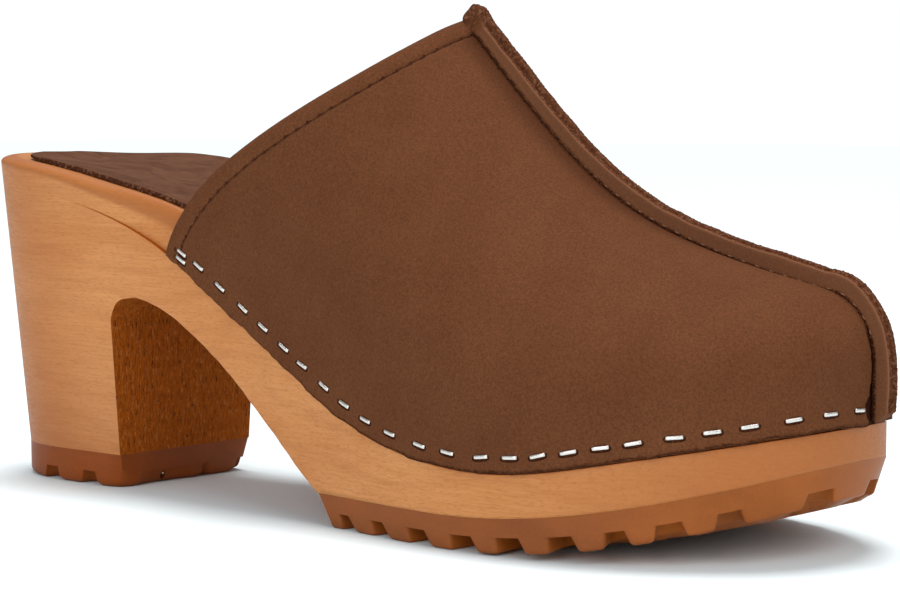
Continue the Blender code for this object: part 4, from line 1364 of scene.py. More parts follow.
def rib(edge, ridge, share, rows):
    """Lines of the upper's outer face, a row for each share, from the lower edge up to the seam."""
    start = edge.length * share
    low = edge.foot(start)[:, 2]
    top = ridge.at(share)
    slide = (RIDGE[0].along - COLLAR_CORNER) * (1 - share) ** 2
    upright = SPRING + (TOE_UPRIGHT - SPRING) * ramp(*UPRIGHT_CHANGE, share)
    change = ramp(*SECTION_CHANGE, share)
    crown = np.radians(CROWN_COLLAR + (CROWN_TOE - CROWN_COLLAR) * change)
    fullness = FULLNESS_COLLAR + (FULLNESS_TOE - FULLNESS_COLLAR) * change
    curved = rows - UPRIGHT_ROWS
    lines = []
    for row in range(rows + 1):
        if row < UPRIGHT_ROWS:
            height = low + upright * row / UPRIGHT_ROWS
            close = np.zeros_like(low)
        else:
            angle = crown * (1 - (1 - (row - UPRIGHT_ROWS) / curved) ** ROW_CROWDING)
            height = low + upright + (top[:, 2] - low - upright) * (np.sin(angle) / np.sin(crown)) ** fullness
            close = (1 - np.cos(angle)) / (1 - np.cos(crown))
        lean = ((height - low) / (top[:, 2] - low)) ** LEAN_POWER
        point = edge.at(start + slide * lean, height)
        point[:, :2] += (top[:, :2] - point[:, :2]) * close[:, None]
        lines.append(point)
    lines[-1] = top
    return np.stack(lines, axis=1)


def distance_to(path, points):
    """Distance from each point to a line of points, and how far along the line the nearest place is."""
    nearest = np.full(len(points), np.inf)
    place = np.zeros(len(points))
    run = 0.0
    for start, end in zip(path, path[1:]):
        ahead = end - start
        size = np.linalg.norm(ahead)
        share = np.clip((points - start) @ ahead / size ** 2, 0.0, 1.0)
        gap = np.linalg.norm(points - start - share[:, None] * ahead, axis=1)
        closer = gap < nearest
        nearest = np.where(closer, gap, nearest)
        place = np.where(closer, run + share * size, place)
        run += size
    return nearest, place


def staple_places(edge):
    """Distance along the lower edge, and height over it, of each staple of one side."""
    places = list(STAPLE_PAIR)
    for place in STAPLE_PLACES:
        distance = place * edge.length / STAPLE_EDGE
        front = float(ramp(*STAPLE_RISE_CHANGE, distance))
        places.append((distance, STAPLE_RISE + (STAPLE_RISE_FRONT - STAPLE_RISE) * front))
    return places


def staple_frames(edge):
    """Middle on the leather, direction along the edge and outward direction of each staple of one side."""
    frames = []
    for distance, rise in staple_places(edge):
        before, foot, after = edge.foot(np.array((distance - 1.0, distance, distance + 1.0)))
        above = edge.at(np.array((distance,)), foot[2] + rise)[0]
        tangent = unit(after - before)
        outward = unit(np.cross(tangent, above - foot)) * -edge.side
        up = np.cross(outward, tangent) * -edge.side
        frames.append((foot + up * rise, tangent, outward))
    return frames


class UpperSheet:
    """The outer face of the leather as a sheet of points, without its relief."""

    def __init__(self, sizes):
        self.leather = sizes.leather / MM
        self.columns, self.rows = sizes.columns, sizes.rows
        self.edges = {side: LowerEdge(side, self.leather) for side in (LATERAL, MEDIAL)}
        self.ridge = Ridge()
        even = np.linspace(0, 1, self.columns + 1)
        self.shares = even - COLUMN_CROWDING * np.sin(2 * math.pi * even) / (2 * math.pi)
        lateral = rib(self.edges[LATERAL], self.ridge, self.shares, self.rows)
        medial = rib(self.edges[MEDIAL], self.ridge, self.shares, self.rows)
        self.points = np.concatenate((lateral, medial[:, -2::-1]), axis=1)
        self.across = self.points.shape[1]
        self.numbers = np.arange(self.points.shape[0] * self.across).reshape(-1, self.across)
        self.numbers[-1, self.rows + 1:] = self.numbers[-1, :self.rows][::-1]
        self.flat = self.points.reshape(-1, 3)
        self.normals = self.outward()
        self.collar = self.points[0]
        self.seam = np.concatenate((self.points[:, self.rows], self.points[-1, :self.rows][::-1]))
        self.from_collar, self.collar_run = distance_to(self.collar, self.flat)
        self.from_seam, self.seam_run = distance_to(self.seam, self.flat)

    def quads(self):
        numbers = self.numbers
        quads = np.stack((numbers[:-1, :-1], numbers[1:, :-1], numbers[1:, 1:], numbers[:-1, 1:]), axis=-1)
        return quads.reshape(-1, 4)

    def outward(self):
        """Normals of the sheet at its points, shared where both halves meet."""
        quads = self.quads()
        corner = self.flat[quads]
        face = np.cross(corner[:, 2] - corner[:, 0], corner[:, 3] - corner[:, 1])
        normals = np.zeros_like(self.flat)
        for k in range(4):
            np.add.at(normals, quads[:, k], face)
        normals = unit(normals)
        toe = self.numbers[self.columns // 2, self.rows]
        return normals if normals[toe, 2] > 0 else -normals

    def rise(self):
        """Height of each point over the lower edge of its own line."""
        foot = np.concatenate((
            np.repeat(self.points[:, :1, 2], self.rows + 1, axis=1),
            np.repeat(self.points[:, -1:, 2], self.rows, axis=1),
        ), axis=1)
        return (self.points[..., 2] - foot).reshape(-1)


TOE_GAP_LENGTH = 24.0  # the seam opens over this last stretch down the front of the toe
TOE_GAP_MIDDLE = 3.8  # it is widest this far over the seam's end
TOE_GAP_DEPTH = 1.0
TOE_GAP_WIDTHS = (0.6, 3.2)
SEAM_VALLEY = 0.6
SEAM_VALLEY_WIDTH = 6.0
SEAM_SHADE = 0.42  # the leather is darker beside the seam, in a soft fold
SEAM_SHADE_WIDTH = (2.0, 7.5)
SEAM_SHADE_FADE = (60.0, 100.0)
SEAM_LINE = 0.35  # stitches lie this far outside the centre seam's face
STITCH_GROOVE = 0.22
FAR = 99.0  # a distance at which a stitch line or an edge has no effect
EDGE_PALER = 0.5  # the raw lower edge is less dark along the arch, as if it lay this much lower
EDGE_PALER_FADE = (80.0, 160.0)


def upper_relief(sheet, sizes):
    """Height of the relief over the plain sheet, and the painted shade of its deepest place, the opening down
    the front of the toe.
    """
    points = sheet.flat
    hem = sizes.hem / MM
    seam_length = np.linalg.norm(np.diff(sheet.seam, axis=0), axis=1).sum()
    relief = 0.20 * ripple(points, 34.0, 3) + 0.05 * ripple(points, 11.0, 4)
    relief -= SEAM_VALLEY * bump(sheet.from_seam, SEAM_VALLEY_WIDTH)
    inside_hem = np.clip(sheet.from_collar / hem, 0.0, 1.0)
    relief += sizes.hem_puff / MM * np.sin(math.pi * inside_hem) ** 0.7 * (inside_hem < 1.0)
    relief -= STITCH_GROOVE * bump(sheet.from_collar - hem, 0.45)
    half = sizes.seam_width / MM / 2
    from_end = seam_length - sheet.seam_run
    opening = 1 - ramp(TOE_GAP_LENGTH / 2, TOE_GAP_LENGTH, from_end)
    blob = bump(from_end - TOE_GAP_MIDDLE, TOE_GAP_MIDDLE * 0.9)
    width = TOE_GAP_WIDTHS[0] + (TOE_GAP_WIDTHS[1] - TOE_GAP_WIDTHS[0]) * blob
    ragged = (0.8 * ripple(points, 0.9, 24) + 0.6 * ripple(points, 2.1, 25)) * (0.3 + 0.7 * blob)
    gap = bump(np.maximum(0.0, sheet.from_seam - half - width + ragged), 0.5) * opening
    relief -= TOE_GAP_DEPTH * gap
    # painted shade: the opening is darkened as if it lay in shadow
    dark = np.clip(1.25 * gap, 0.0, 1.0)
    for edge in sheet.edges.values():
        for centre, tangent, outward in staple_frames(edge):
            away = points - centre
            near = np.linalg.norm(away, axis=1) < 7.0
            along = away[near] @ tangent
            up = away[near] @ np.cross(outward, tangent)
            relief[near] -= 0.25 * bump(along, sizes.staple_length / MM * 0.7) * bump(up, 1.5)
    return relief, dark


def upper(sizes, colours):
    sheet = UpperSheet(sizes)
    relief, dark = upper_relief(sheet, sizes)
    hem = sizes.hem / MM
    outer = sheet.flat + sheet.normals * relief[:, None]
    rise = sheet.rise()
    ragged = 0.18 * ripple(sheet.flat, 1.7, 21) + 0.32 * ripple(sheet.flat, 4.5, 22)
    outer[:, 2] += ragged * bump(rise, 0.8)
    fold = (1 - ramp(hem * 1.9, hem * 2.0, sheet.from_collar)) * 0.9
    wall = sheet.leather + fold - 0.15 * ripple(sheet.flat, 7.0, 23)
    inner = sheet.flat - sheet.normals * wall[:, None]
    count = len(outer)
    faces = [(tuple(quad), 0) for quad in sheet.quads()]
    faces += [(tuple(quad[::-1] + count), 1) for quad in sheet.quads()]
    numbers = sheet.numbers
    loop = np.concatenate((numbers[0, :-1], numbers[:-1, -1], numbers[-1:0:-1, 0]))
    folded = np.arange(len(loop)) < sheet.across - 1
    rim, rim_faces = upper_rim(outer[loop], inner[loop], loop, loop + count, 2 * count, folded)
    materials = (nubuck(colours, sizes), flesh_side(colours), raw_leather(colours))
    piece = piece_from("leather_upper", np.concatenate((outer, inner, rim)), faces + rim_faces,
                       materials, 60.0)
    step = 0.6 * bump(sheet.from_collar - hem * 2.0, 0.5)
    cut = np.where(folded, 0.0, 0.55)
    seam_gap = sheet.from_seam - sizes.seam_width / MM / 2 - SEAM_LINE
    away = np.full(count, FAR)
    shade = SEAM_SHADE * (1 - ramp(*SEAM_SHADE_WIDTH, seam_gap))
    shade = shade * (1 - ramp(*SEAM_SHADE_FADE, sheet.seam_run))
    shade = np.where(sheet.from_collar < hem, 0.0, shade)
    paler = EDGE_PALER * (1 - ramp(*EDGE_PALER_FADE, sheet.flat[:, 0]))
    fields = {
        # crease: painted shade in the toe's opening outside, a dark line where the turned hem ends inside,
        # and the darker raw cut of the edge
        "crease": (dark, step, cut),
        "shade": (shade, 0 * step, 0 * cut),
        "hem_gap": (sheet.from_collar - hem, away, away[loop]),
        "hem_run": (sheet.collar_run, away, sheet.collar_run[loop]),
        "seam_gap": (seam_gap, away, seam_gap[loop]),
        "seam_run": (sheet.seam_run, away, sheet.seam_run[loop]),
        "edge_rise": (np.where(sheet.from_collar < hem, FAR, rise + paler), away, away[loop]),
    }
    for name, (outside, inside, around) in fields.items():
        mask(piece, name, np.concatenate((outside, inside, np.tile(around, len(RIM_TURNS)))))
    welded(piece, 1e-4)
    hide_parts("upper")
    return piece


RIM_TURNS = np.radians((30, 60, 90, 120, 150))
FOLD_BULGE = 0.9
CUT_BULGE = 0.12


def upper_rim(outer, inner, outer_numbers, inner_numbers, start, folded):
    """The edge of the leather all round: a round fold along the collar and a raw cut below."""
    middle, half = (outer + inner) / 2, (outer - inner) / 2
    ahead = unit(np.roll(outer, -1, axis=0) - np.roll(outer, 1, axis=0))
    out = unit(np.cross(half, ahead))
    bulge = np.where(folded, FOLD_BULGE, CUT_BULGE)[:, None]
    rows = [middle + half * math.cos(turn) + out * bulge * math.sin(turn) for turn in RIM_TURNS]
    count = len(outer)
    numbers = [outer_numbers]
    numbers += [np.arange(start + k * count, start + (k + 1) * count) for k in range(len(rows))]
    numbers.append(inner_numbers)
    faces = []
    for here, there in zip(numbers, numbers[1:]):
        for k in range(count):
            ahead = (k + 1) % count
            corners = (int(here[k]), int(here[ahead]), int(there[ahead]), int(there[k]))
            faces.append((corners, 0 if folded[k] else 2))
    return np.concatenate(rows), faces


# Centre seam

SEAM_STEPS = 620
BEADS = (25.0, 65.0)  # along this stretch the seam's stitches stand out as beads with a painted highlight, in a line of painted shade
SEAM_OVERHANG = 1.5  # the seam stands out over the collar by this much
SEAM_END_STEPS = 10
SEAM_END_ROUNDING = 2.4
SEAM_END_SIZE = 0.15  # share of the section left at its rounded end
SEAM_LUMP = 0.2  # share by which it is thicker at the collar, where the hems are folded in
SEAM_LUMP_HEIGHTS = {LATERAL: 1.2, MEDIAL: 0.3}
SEAM_LUMP_FADE = (1.5, 5.5)
SEAM_TOE_LOSS = {LATERAL: 0.15, MEDIAL: 0.3}  # lower by this much down the front of the toe
SEAM_TOE_FADE = (38.0, 22.0)
SEAM_HUMP = 0.6  # higher by this much where it starts to bend down
SEAM_HUMP_PLACE = (42.0, 11.0)  # distance from its end, and width
SEAM_RAW_END = 3.2  # all raw up to here from the collar
SEAM_BEVEL = 0.9  # its outer edge is cut this much lower at the collar
SEAM_BEVEL_FADE = (12.0, 60.0)
SEAM_MIDDLE = 1.4  # height about which its section shrinks at the end
SEAM_CUT = 2.6  # its outer edge stops this far over its foot at the toe
SEAM_CUT_LENGTH = 7.0

# Half the seam's section: shares of its half-width and height, and how torn, light and dark it is.
# Its light share is wear along the top edge and painted light on the near face; its dark share is painted
# shade in the crease at its foot and a darker raw top.
SeamPoint = namedtuple("SeamPoint", "across up torn worn dark")
SEAM_HALF = (
    SeamPoint(1.08, -0.25, 0.0, 0.0, 0.8),
    SeamPoint(1.04, 0.00, 0.0, 0.1, 0.35),
    SeamPoint(1.00, 0.12, 0.0, 0.25, 0.0),
    SeamPoint(0.97, 0.30, 0.0, 0.3, 0.0),
    SeamPoint(0.98, 0.55, 0.0, 0.3, 0.0),
    SeamPoint(1.02, 0.78, 0.0, 0.3, 0.0),
    SeamPoint(1.01, 0.90, 0.1, 0.35, 0.0),
    SeamPoint(0.97, 0.965, 0.2, 0.6, 0.0),
    SeamPoint(0.90, 1.00, 0.4, 0.4, 0.0),
    SeamPoint(0.75, 1.00, 1.0, 0.0, 0.0),
    SeamPoint(0.56, 0.99, 1.0, 0.0, 0.0),
    SeamPoint(0.36, 0.99, 1.0, 0.0, 0.0),
    SeamPoint(0.18, 0.985, 1.0, 0.0, 0.0),
    SeamPoint(0.05, 0.97, 1.0, 0.0, 0.25),
)


def seam_frames(sheet):
    """Even steps along the seam: points, directions along, out of and to the inner side, length run."""
    path = sheet.seam
    run = np.concatenate(([0.0], np.cumsum(np.linalg.norm(np.diff(path, axis=0), axis=1))))
    even = np.linspace(0, run[-1], SEAM_STEPS)
    points = np.stack([np.interp(even, run, path[:, k]) for k in range(3)], axis=-1)
    for _ in range(8):
        points[1:-1] = (points[:-2] + 2 * points[1:-1] + points[2:]) / 4
    along = unit(np.gradient(points, axis=0))
    out = unit(np.cross(along, (0.0, 1.0, 0.0)))
    sideways = unit(np.cross(out, along))
    return points, along, out, sideways, even


def centre_seam(sizes, colours):
    points, along, out, sideways, run = seam_frames(UpperSheet(sizes))
    back = np.linspace(-SEAM_OVERHANG, 0.0, SEAM_END_STEPS, endpoint=False)
    points = np.concatenate((points[0] + along[0] * back[:, None], points))
    run = np.concatenate((back, run))
    along, out, sideways = [np.concatenate((np.repeat(rows[:1], len(back), axis=0), rows))
                            for rows in (along, out, sideways)]
    lump = 1 - ramp(*SEAM_LUMP_FADE, run)
    hump = SEAM_HUMP * bump(run[-1] - run - SEAM_HUMP_PLACE[0], SEAM_HUMP_PLACE[1])
    end = np.clip((run + SEAM_OVERHANG) / SEAM_END_ROUNDING, 0.0, 1.0)
    end = SEAM_END_SIZE + (1 - SEAM_END_SIZE) * np.sqrt(1 - (1 - end) ** 2)
    toe = ramp(run[-1] - SEAM_CUT_LENGTH, run[-1], run)
    half = sizes.seam_width / MM / 2 * (1 + SEAM_LUMP * lump)
    heights = {LATERAL: sizes.seam_near / MM, MEDIAL: sizes.seam_far / MM}
    wobble = 0.10 * ripple(points, 3.1, 31) + 0.14 * ripple(points, 9.0, 32)
    draw = np.random.default_rng(17)
    columns, section = [], []
    for side in (LATERAL, MEDIAL):
        lower = ramp(*(run[-1] - np.array(SEAM_TOE_FADE)), run)
        height = heights[side] + SEAM_LUMP_HEIGHTS[side] * lump - SEAM_TOE_LOSS[side] * lower + hump
        if side == LATERAL:
            height = height - SEAM_BEVEL * (1 - lump) * (1 - ramp(*SEAM_BEVEL_FADE, run))
        for row in SEAM_HALF if side == LATERAL else SEAM_HALF[::-1]:
            torn = draw.normal(0, 0.11, len(run)) * row.torn
            up = SEAM_MIDDLE + (height * row.up + wobble * max(row.up, 0.0) - SEAM_MIDDLE) * end + torn
            wide = side * half * row.across * end
            back_cut = SEAM_CUT * toe * max(row.up, 0.0) + 2 * torn * toe
            columns.append(points + sideways * wide[:, None] + out * up[:, None] - along * back_cut[:, None])
            section.append(row)
    rings = np.stack(columns, axis=1)
    around = rings.shape[1]
    faces = []
    for corners, _ in grid_faces(len(run), around, closed=True):
        here, there = section[corners[0] % around], section[corners[1] % around]
        at_end = run[corners[0] // around] < SEAM_RAW_END
        raw = at_end or (here.torn >= 0.4 and there.torn >= 0.4)
        faces.append((corners, int(raw)))
    faces.append((tuple(range(around)), 1))
    faces.append((tuple(range((len(run) - 1) * around, len(run) * around)), 1))
    piece = piece_from("centre_seam", rings.reshape(-1, 3), faces, (nubuck(colours), raw_leather(colours)),
                       60.0)
    # Painted light on the seam's near face with wear along its top edge, and painted shade at its foot,
    # deeper where the stitches turn to beads.
    rubbed = ramp(SEAM_RAW_END, SEAM_RAW_END + 3, run)
    mask(piece, "worn", np.outer(rubbed, [row.worn for row in section]).reshape(-1))
    mask(piece, "crease", np.outer(0.4 + 0.6 * ramp(*BEADS, run), [row.dark for row in section]).reshape(-1))
    return welded(piece, 1e-4)


# Stitching

STITCH_STEPS = 7
STITCH_ARCH = 0.06
BEAD_RISE = 0.22  # beads stand out by this much more
STITCH_DIVE = 0.45
THREAD_SIDES = 8
SEAM_STITCH_RISES = (-0.3, 0.1)  # height of the centre seam's stitches, at the back and along the beads


def stitch_row(path, normals, sizes, start, end, beads):
    """Stitches along a line: each is a short arched thread whose ends dive into the leather.

    beads is 1.0 where they turn to beads with a painted highlight. Returns their paths, their upward
    directions and how much painted highlight they carry.
    """
    pitch, size = sizes.stitch_pitch / MM, sizes.stitch_length / MM
    run = np.concatenate(([0.0], np.cumsum(np.linalg.norm(np.diff(path, axis=0), axis=1))))
    paths, ups, lit = [], [], []
    for centre in np.arange(start + pitch / 2, run[-1] - end, pitch):
        places = centre + np.linspace(-size / 2, size / 2, STITCH_STEPS)
        line = np.stack([np.interp(places, run, path[:, k]) for k in range(3)], axis=-1)
        up = unit(np.stack([np.interp(places, run, normals[:, k]) for k in range(3)], axis=-1))
        bead = beads * ramp(*BEADS, centre)
        from_middle = np.abs(np.linspace(-1, 1, STITCH_STEPS))
        arched = STITCH_ARCH + BEAD_RISE * bead - STITCH_DIVE * (1 + bead) * from_middle ** (3 - 1.5 * bead)
        paths.append(line + up * arched[:, None])
        ups.append(up)
        lit.append(bead * np.maximum(0.0, 1 - 1.5 * from_middle))
    return paths, ups, lit


def hem_line(sheet, relief, hem, side):
    """The line on the leather one hem's width from the collar, from the sole up to the seam."""
    rows = sheet.rows
    from_collar = sheet.from_collar.reshape(sheet.points.shape[:2])
    lifted = (sheet.flat + sheet.normals * relief[:, None]).reshape(sheet.points.shape)
    normals = sheet.normals.reshape(sheet.points.shape)
    columns = range(0, rows + 1) if side == LATERAL else range(2 * rows, rows - 1, -1)
    line, out = [], []
    for column in columns:
        first = int(np.argmax(from_collar[:, column] >= hem))
        gap = from_collar[first - 1:first + 1, column]
        share = (hem - gap[0]) / (gap[1] - gap[0])
        line.append(lifted[first - 1, column] * (1 - share) + lifted[first, column] * share)
        out.append(normals[first, column])
    return np.array(line), np.array(out)


def stitching(sizes, colours):
    sheet = UpperSheet(sizes)
    relief, _ = upper_relief(sheet, sizes)
    hem = sizes.hem / MM
    half = sizes.seam_width / MM / 2
    paths, ups, lit = [], [], []
    for side in (LATERAL, MEDIAL):
        line, out = hem_line(sheet, relief, hem, side)
        more = stitch_row(line, out, sizes, 5.0, 3.0, 0.0)
        paths += more[0]
        ups += more[1]
        lit += more[2]
    points, along, out, sideways, run = seam_frames(sheet)
    for side in (1, -1):
        rise = SEAM_STITCH_RISES[0] + np.diff(SEAM_STITCH_RISES) * ramp(*BEADS, run)
        line = points + sideways * side * (half * 1.04 + 0.05) + out * rise[:, None]
        more = stitch_row(line, sideways * side, sizes, hem + 1.0, TOE_GAP_LENGTH * 0.8, 1.0)
        paths += more[0]
        ups += more[1]
        lit += more[2]
    radius = sizes.thread / MM / 2
    points, faces = tubes(paths, ups, radius, radius, THREAD_SIDES)
    piece = piece_from("stitching", points, faces, (sewing_thread(colours),), 70.0)
    # painted highlight on the centre seam's beads
    mask(piece, "worn", np.repeat(np.concatenate(lit), THREAD_SIDES))
    return piece


# Staples

STAPLE_BEND = 0.35
STAPLE_SINK = 0.7
STAPLE_LEAN = 3.0  # degrees by which staples are crooked
SHADOW_MARGIN = (0.85, 0.42)  # the painted shadow reaches this far past the wire's ends and sides
SHADOW_DROP = 0.26  # and lies this much lower
SHADOW_SIDES = 20
SHADOW_RINGS = ((0.5, 0.08), (0.85, 0.06), (1.0, -0.05))  # share of its size and height over the leather


def seated_frames(sheet, relief, side):
    """The staples' frames of one side, moved onto the leather's relief, each turned a little."""
    draw = np.random.default_rng(40 + side)
    frames = []
    for centre, tangent, outward in staple_frames(sheet.edges[side]):
        nearest = int(np.argmin(np.linalg.norm(sheet.flat - centre, axis=1)))
        lean = math.radians(draw.normal(0.0, STAPLE_LEAN))
        run = tangent * math.cos(lean) + np.cross(outward, tangent) * math.sin(lean)
        frames.append((centre + outward * relief[nearest], run, outward))
    return frames


def staples(sizes, colours, side):
    """The crowns of one side, of flat wire whose ends turn down into the leather."""
    sheet = UpperSheet(sizes)
    relief, _ = upper_relief(sheet, sizes)
    thickness = sizes.staple_thickness / MM
    half = (sizes.staple_length / MM - thickness) / 2
    offsets = np.array((-half, -half, -half + 0.10, -half + STAPLE_BEND, -half / 2, 0.0,
                        half / 2, half - STAPLE_BEND, half - 0.10, half, half))
    levels = np.array((-STAPLE_SINK, -0.25, -0.08, 0.0, 0.03, 0.04, 0.03, 0.0, -0.08, -0.25, -STAPLE_SINK))
    frames = seated_frames(sheet, relief, side)
    paths, ups = [], []
    for centre, run, outward in frames:
        seat = centre + outward * (thickness / 2 - 0.1)
        paths.append(seat + offsets[:, None] * run + levels[:, None] * outward)
        ups.append(np.repeat(outward[None], len(offsets), axis=0))
    name = {LATERAL: "outer", MEDIAL: "inner"}[side]
    points, faces = staple_tubes(paths, ups, sizes)
    piece = piece_from(f"staples_{name}", points, faces, (bright_wire(colours),), 50.0)
    nodes = [f"staple_{name}_{number:02d}" for number in range(1, len(paths) + 1)]
    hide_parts(*nodes)
    # painted shadow round each staple
    points, faces = staple_shadows(frames, half, sizes, sheet.flat + sheet.normals * relief[:, None])
    piece_from(f"staple_shadows_{name}", points, faces, (painted_shade(colours),), 70.0)


def staple_shadows(frames, half, sizes, leather):
    """Dark patches of painted shadow round the staples, where the wire is pressed into the leather."""
    turns = np.linspace(0, 2 * math.pi, SHADOW_SIDES, endpoint=False)
    shape = np.stack((np.cos(turns), np.sin(turns)), axis=-1)
    shape = np.sign(shape) * np.abs(shape) ** 0.7
    shape = shape * (half + SHADOW_MARGIN[0], sizes.staple_width / MM / 2 + SHADOW_MARGIN[1])
    points, faces = [], []
    for centre, run, outward in frames:
        up = np.cross(outward, run)
        up = up * np.sign(up[2])
        near = leather[np.linalg.norm(leather - centre, axis=1) < 6.0]
        start = len(points)
        for size, height in SHADOW_RINGS:
            for along, over in shape * size:
                spot = centre + run * along + up * (over - SHADOW_DROP)
                points.append(seated(spot, outward, near, height))
        faces += grid_faces(len(SHADOW_RINGS), SHADOW_SIDES, start, closed=True)
        faces.append((tuple(range(start, start + SHADOW_SIDES)), 0))
    return np.array(points), faces


def seated(spot, outward, leather, height):
    """A spot moved along outward onto the leather, from the four nearest points of it, and height over it."""
    away = np.linalg.norm(leather - spot, axis=1)
    nearest = np.argsort(away)[:4]
    weights = 1 / (away[nearest] + 0.02)
    level = ((leather[nearest] - spot) @ outward * weights).sum() / weights.sum()
    return spot + outward * (level + height)


def staple_tubes(paths, ups, sizes):
    """Flat wire whose width stays along the leather, also where its ends turn down."""
    paths, ups = np.asarray(paths), np.asarray(ups)
    run = unit(paths[:, -1] - paths[:, 0])[:, None]
    widthwise = np.cross(ups, np.broadcast_to(run, ups.shape))
    tangent = unit(np.gradient(paths, axis=1))
    half_width, half_height = sizes.staple_width / MM / 2, sizes.staple_thickness / MM / 2
    return tubes(paths, np.cross(widthwise, tangent), half_width, half_height, 12)


# Stage

CAMERA_TURN = 39.77  # degrees round the shoe, from its outer side towards the toe
CAMERA_RISE = 4.093
CAMERA_DISTANCE = 610.3
CAMERA_TARGET = np.array((122.35, 0.0, 50.0))
PICTURE = (900, 591)
FOCAL_PIXELS = 2581.0
PICTURE_CENTRE = (412.6, 297.5)  # where the line of sight meets the picture
SENSOR = 36.0
SKY_LIGHT = 0.38  # strength of the white surroundings as light
SKY_SEEN = 1.12  # and as background
SUN = (-150.0, 80.0, 2.75, 26.0)  # turn and rise in degrees, strength, angle of its soft edge
# Each fill: turn and rise in degrees, distance and size in metres, watts.
SIDE_FILL = (10.0, 18.0, 1.8, 1.6, 16.5)
TOE_FILL = (75.0, 34.0, 1.8, 1.4, 13.0)


def camera():
    turn, rise = math.radians(CAMERA_TURN), math.radians(CAMERA_RISE)
    back = np.array((math.sin(turn) * math.cos(rise), -math.cos(turn) * math.cos(rise), math.sin(rise)))
    lens = bpy.data.cameras.new("camera")
    lens.sensor_width = SENSOR
    lens.lens = FOCAL_PIXELS * SENSOR / PICTURE[0]
    lens.shift_x = (PICTURE[0] / 2 - PICTURE_CENTRE[0]) / PICTURE[0]
    lens.shift_y = (PICTURE_CENTRE[1] - PICTURE[1] / 2) / PICTURE[0]
    lens.clip_start = 0.02
    made = bpy.data.objects.new("camera", lens)
    made.location = (CAMERA_TARGET + back * CAMERA_DISTANCE + CENTRE) * MM
    made.rotation_euler = (math.pi / 2 - rise, 0.0, turn)
    bpy.context.scene.collection.objects.link(made)
    bpy.context.scene.camera = made


def softbox(name, turn, rise, distance, size, power):
    """A square area light that faces the shoe. turn and rise are in degrees, the rest in metres and watts."""
    light = bpy.data.lights.new(name, "AREA")
    light.shape = "SQUARE"
    light.size = size
    light.energy = power
    made = bpy.data.objects.new(name, light)
    turn, rise = math.radians(turn), math.radians(rise)
    made.location = (math.sin(turn) * math.cos(rise) * distance, -math.cos(turn) * math.cos(rise) * distance,
                     math.sin(rise) * distance + 0.04)
    made.rotation_euler = (math.pi / 2 - rise, 0.0, turn)
    bpy.context.scene.collection.objects.link(made)


def sun(turn, rise, strength, spread_degrees):
    light = bpy.data.lights.new("sun", "SUN")
    light.energy = strength
    light.angle = math.radians(spread_degrees)
    made = bpy.data.objects.new("sun", light)
    made.rotation_euler = (math.pi / 2 - math.radians(rise), 0.0, math.radians(turn))
    bpy.context.scene.collection.objects.link(made)


def stage(colours):
    bm = bmesh.new()
    bmesh.ops.create_grid(bm, x_segments=8, y_segments=8, size=6.0)
    mesh = bpy.data.meshes.new("floor")
    bm.to_mesh(mesh)
    bm.free()
    mesh.materials.append(pale_floor(colours))
    floor = bpy.data.objects.new("floor", mesh)
    bpy.context.scene.collection.objects.link(floor)
    world = bpy.data.worlds.new("studio")
    world.use_nodes = True
    tree = world.node_tree
    sky = tree.nodes["Background"]
    sky.inputs["Color"].default_value = (0.90, 0.96, 1.0, 1.0)
    seen = node(tree, "ShaderNodeLightPath").outputs["Is Camera Ray"]
    feed(tree, sky.inputs["Strength"], spread(tree, seen, 0.0, 1.0, SKY_LIGHT, SKY_SEEN))
    bpy.context.scene.world = world
    bpy.context.scene.view_settings.view_transform = "Standard"
    bpy.context.scene.view_settings.look = "None"
    sun(*SUN)
    softbox("side_fill", *SIDE_FILL)
    softbox("toe_fill", *TOE_FILL)
    camera()


# Operators, panel and start

class CLOG_OT_wooden_sole(bpy.types.Operator):
    """Builds the wooden sole with its heel, arch and footbed"""

    bl_idname = "clog.wooden_sole"
    bl_label = "Wooden Sole"

    def execute(self, context):
        wooden_sole(context.scene.clog_colours)
        return {"FINISHED"}


class CLOG_OT_insole(bpy.types.Operator):
    """Lays the leather insole on the footbed"""

    bl_idname = "clog.insole"
    bl_label = "Insole"

    def execute(self, context):
        insole(context.scene.clog_sizes, context.scene.clog_colours)
        return {"FINISHED"}


class CLOG_OT_treads(bpy.types.Operator):
    """Builds the lugged rubber treads under forefoot and heel"""

    bl_idname = "clog.treads"
    bl_label = "Rubber Treads"

    def execute(self, context):
        forefoot_tread(context.scene.clog_colours)
        heel_tread(context.scene.clog_colours)
        return {"FINISHED"}


class CLOG_OT_upper(bpy.types.Operator):
    """Builds the leather upper with its hem, raw edges and dimples"""

    bl_idname = "clog.upper"
    bl_label = "Leather Upper"

    def execute(self, context):
        upper(context.scene.clog_sizes, context.scene.clog_colours)
        return {"FINISHED"}


class CLOG_OT_centre_seam(bpy.types.Operator):
    """Raises the centre seam with its torn top edge"""

    bl_idname = "clog.centre_seam"
    bl_label = "Centre Seam"

    def execute(self, context):
        centre_seam(context.scene.clog_sizes, context.scene.clog_colours)
        return {"FINISHED"}


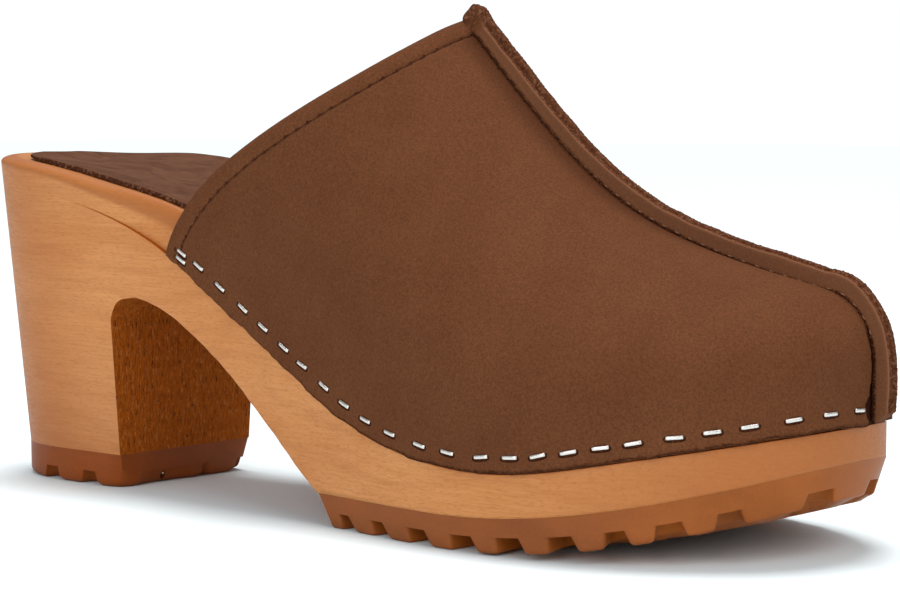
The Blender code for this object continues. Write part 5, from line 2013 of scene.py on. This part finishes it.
class CLOG_OT_stitching(bpy.types.Operator):
    """Sews the hem and the centre seam"""

    bl_idname = "clog.stitching"
    bl_label = "Stitching"

    def execute(self, context):
        stitching(context.scene.clog_sizes, context.scene.clog_colours)
        return {"FINISHED"}


class CLOG_OT_staples(bpy.types.Operator):
    """Drives the staples along the upper's lower edge"""

    bl_idname = "clog.staples"
    bl_label = "Staples"

    def execute(self, context):
        for side in (LATERAL, MEDIAL):
            staples(context.scene.clog_sizes, context.scene.clog_colours, side)
        return {"FINISHED"}


class CLOG_OT_stage(bpy.types.Operator):
    """Sets the floor, the light and the camera"""

    bl_idname = "clog.stage"
    bl_label = "Stage"

    def execute(self, context):
        stage(context.scene.clog_colours)
        return {"FINISHED"}


OPERATORS = (
    CLOG_OT_wooden_sole,
    CLOG_OT_insole,
    CLOG_OT_treads,
    CLOG_OT_upper,
    CLOG_OT_centre_seam,
    CLOG_OT_stitching,
    CLOG_OT_staples,
    CLOG_OT_stage,
)


class CLOG_PT_panel(bpy.types.Panel):
    """Lists the clog's pieces, sizes and colours"""

    bl_idname = "CLOG_PT_panel"
    bl_label = "Clog"
    bl_space_type = "VIEW_3D"
    bl_region_type = "UI"
    bl_category = "Clog"

    def draw(self, context):
        for operator in OPERATORS:
            self.layout.operator(operator.bl_idname)
        for group in (context.scene.clog_sizes, context.scene.clog_colours):
            for name in group.__annotations__:
                self.layout.prop(group, name)


CLASSES = (ClogSizes, ClogColours, *OPERATORS, CLOG_PT_panel)


def register():
    for kind in CLASSES:
        bpy.utils.register_class(kind)
    bpy.types.Scene.clog_sizes = PointerProperty(type=ClogSizes)
    bpy.types.Scene.clog_colours = PointerProperty(type=ClogColours)


def unregister():
    del bpy.types.Scene.clog_colours
    del bpy.types.Scene.clog_sizes
    for kind in reversed(CLASSES):
        bpy.utils.unregister_class(kind)


def main():
    register()
    bpy.ops.clog.wooden_sole()
    bpy.ops.clog.insole()
    bpy.ops.clog.treads()
    bpy.ops.clog.upper()
    bpy.ops.clog.centre_seam()
    bpy.ops.clog.stitching()
    bpy.ops.clog.staples()
    bpy.ops.clog.stage()


if __name__ == "__main__":
    main()
